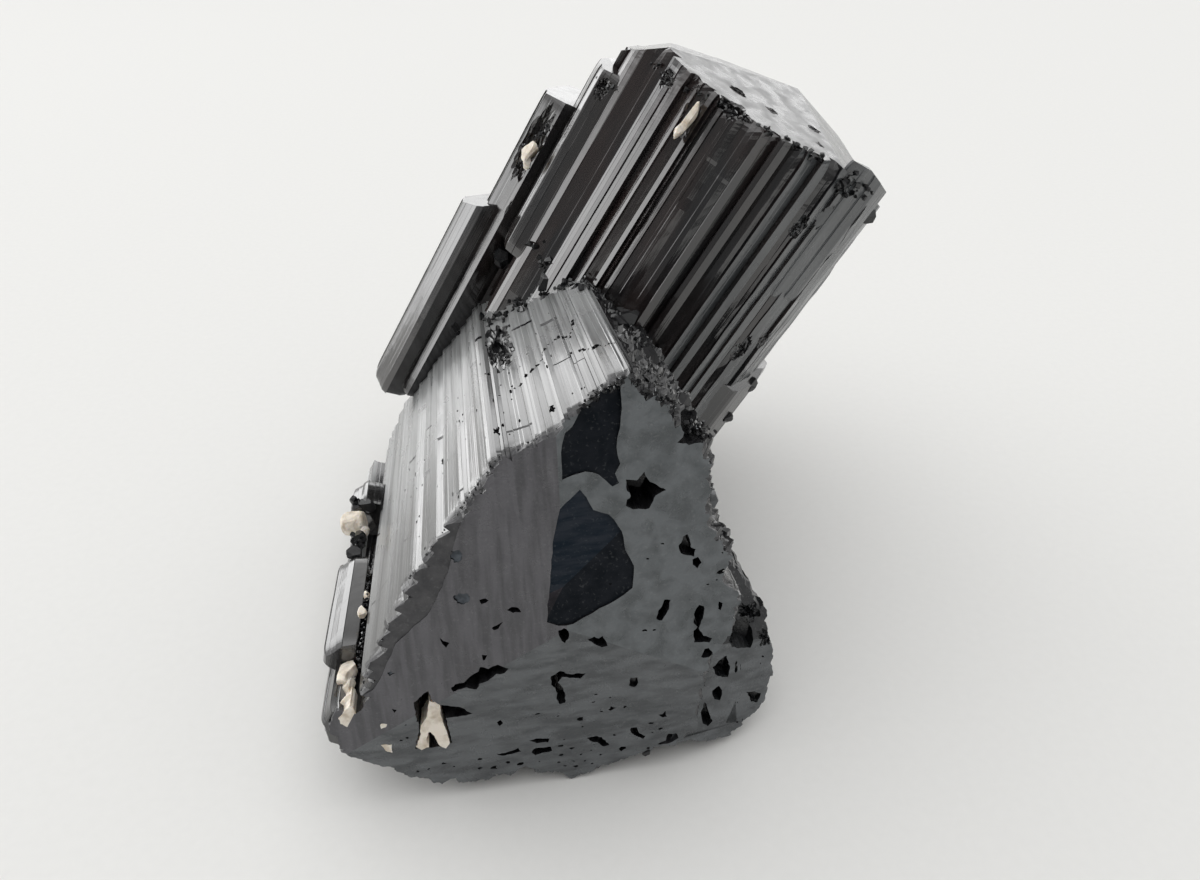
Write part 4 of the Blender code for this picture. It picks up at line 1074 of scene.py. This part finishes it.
# Bits and knobs on the back crystal: x, y, z and size.
BACK_BITS = [
    (17.0, -9.2, 27.0, 1.3), (18.9, -6.0, 25.4, 1.0), (20.4, -4.4, 1.0, 1.1), (20.3, -5.0, -4.0, 1.2),
    (-1.2, -17.8, 3.4, 1.5), (-6.2, -15.2, 1.0, 1.3), (3.0, -18.0, 4.4, 1.4), (-13.4, -8.8, -2.2, 1.4),
]
BACK_CRUST = [
    ([(-9.0, -13.8, 26.4), (-3.0, -17.2, 27.4), (4.6, -18.5, 28.1), (11.4, -16.2, 29.0)], 60, 0.3,
      (0.10, 0.34)),
    ([(13.6, -14.6, 27.0), (17.0, -11.3, 28.4)], 50, 0.8, (0.12, 0.45)),
    ([(-13.8, -10.6, 21.6), (-10.4, -12.2, 22.2)], 24, 0.4, (0.10, 0.3)),
    ([(-12.0, -10.8, 3.0), (-4.0, -16.4, 2.2), (2.0, -18.2, 3.4)], 80, 0.8, (0.15, 0.5)),
    ([(-17.6, -8.6, 10.0), (-15.6, -9.5, 15.6)], 20, 0.4, (0.12, 0.3)),
]
back_crust = bits_and_knobs("back_crust", along(BACK_CRUST, 37), BACK_BITS, 38)
rest(back_crust, BACK_FRAME, trim)
clothe(back_crust, CRUST_FINISHES, crust_choice)
settle(back_crust, BACK_FRAME)

# ---------------------------------------------------------------- feldspar grains
# Cream feldspar, broken and grainy, that fills pockets between the prisms and a pit in the end.

feldspar = bpy.data.materials.new("cream_feldspar_grain")
feldspar.use_nodes = True
tree = feldspar.node_tree
where = add_node(tree, "TexCoord").outputs["Object"]
cloud = add_node(tree, "TexNoise", {"Vector": where, "Scale": 900.0, "Detail": 6.0}).outputs["Fac"]
tint = add_node(tree, "ValToRGB", {"Fac": cloud})
for element, position, colour in zip(tint.color_ramp.elements, (0.30, 0.55),
                                     ((0.48, 0.40, 0.30, 1.0), (0.84, 0.77, 0.67, 1.0))):
    element.position, element.color = position, colour
relief = add_node(tree, "Bump", {"Height": cloud, "Strength": 0.6, "Distance": 0.0001})
feed(tree, tree.nodes["Principled BSDF"], {
    "Subsurface Weight": 0.15, "Subsurface Radius": (0.0006, 0.0004, 0.0002), "Subsurface Scale": 1.0,
    "Base Color": tint.outputs["Color"], "Roughness": between(tree, cloud, 0.0, 1.0, 0.4, 0.75),
    "Normal": relief.outputs["Normal"]})


def grain(x, y, z, across, deep, long, seed):
    """One grain: a ball with its sides broken flat, drawn out to its size and roughened."""
    bpy.ops.object.select_all(action="DESELECT")
    bpy.ops.mesh.primitive_ico_sphere_add(subdivisions=5, radius=1.0)
    piece = bpy.context.object
    rng = random.Random(seed)
    flats = [(any_way(rng), rng.uniform(0.6, 0.95)) for _ in range(9)]
    for vertex in piece.data.vertices:
        way = vertex.co.normalized()
        way *= min([1.1] + [far / way.dot(flat) for flat, far in flats if way.dot(flat) > 0.1])
        way *= 1.0 + 0.05 * noise.fractal(way * 2.2 + Vector((seed, 0.0, 0.0)), 0.9, 2.2, 4)
        vertex.co = (x + way.x * across, y + way.y * deep, z + way.z * long)
    return piece


def plate(outline, depth, over, seed):
    """A flat filling of a pit in the end, a little under or over its face."""
    surface = end_height(*outline[0])
    return punch(ragged(outline, 0.25, 0.06, seed), surface - depth, surface + over, 0.95)


TOOTH = [
    (-12.7, -11.7), (-11.8, -12.0), (-11.8, -13.5), (-11.6, -15.1), (-11.3, -17.1), (-11.8, -17.8),
    (-12.4, -17.2), (-12.7, -15.9), (-13.1, -15.4), (-13.5, -16.3), (-13.3, -17.3), (-14.1, -17.5),
    (-14.5, -17.1), (-14.0, -15.8), (-13.8, -14.5), (-13.1, -13.5),
]
CORNER_PATCH = [
    (-21.2, -12.6), (-20.5, -11.8), (-19.9, -11.2), (-19.6, -12.1), (-19.2, -13.1), (-19.4, -14.3),
    (-20.2, -14.7), (-20.5, -13.8), (-21.1, -13.2),
]
SMALL_PATCHES = [
    [(-17.7, -16.3), (-16.8, -16.4), (-16.8, -17.4), (-17.4, -17.0)],
    [(-17.5, -13.8), (-17.3, -13.6), (-16.8, -13.7), (-17.0, -14.0), (-17.5, -14.2)],
]
GRAINS = [
    ("feldspar_left_upper", FRONT_FRAME, [grain(-21.7, -8.9, -31.2, 1.5, 1.7, 1.6, 3),
      grain(-20.9, -9.6, -30.2, 0.9, 0.9, 0.9, 4)]),
    ("feldspar_left_lower", FRONT_FRAME, [grain(-20.7, -11.7, -6.4, 1.1, 0.9, 1.9, 5),
      grain(-20.4, -11.9, -4.8, 0.6, 0.6, 1.1, 6), grain(-19.2, -8.4, -12.0, 0.45, 0.45, 0.9, 8),
      grain(-19.3, -9.6, -16.6, 0.35, 0.35, 0.8, 9)]),
    ("feldspar_corner", FRONT_FRAME, [plate(CORNER_PATCH, 2.4, 0.12, 81),
      grain(-20.4, -12.4, -2.9, 1.0, 1.1, 0.9, 10)] + [plate(outline, 0.8, 0.06, 82 + k) for k,
      outline in enumerate(SMALL_PATCHES)]),
    ("feldspar_front", FRONT_FRAME, [plate(TOOTH, 2.6, -0.35, 84)]),
    ("feldspar_back_left", BACK_FRAME, [grain(-16.7, -9.1, 10.6, 0.9, 0.9, 1.3, 11),
      grain(-16.2, -9.4, 9.4, 0.6, 0.6, 0.7, 12)]),
    ("feldspar_back_top", BACK_FRAME, [grain(-1.9, -18.3, 25.0, 0.5, 0.8, 1.8, 13),
      grain(-2.2, -18.2, 23.6, 0.4, 0.7, 0.9, 14)]),
]
for name, crystal_frame, parts in GRAINS:
    piece = join(parts, name + "_grain")
    clothe(piece, (feldspar,))
    settle(piece, crystal_frame)
    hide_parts(name)
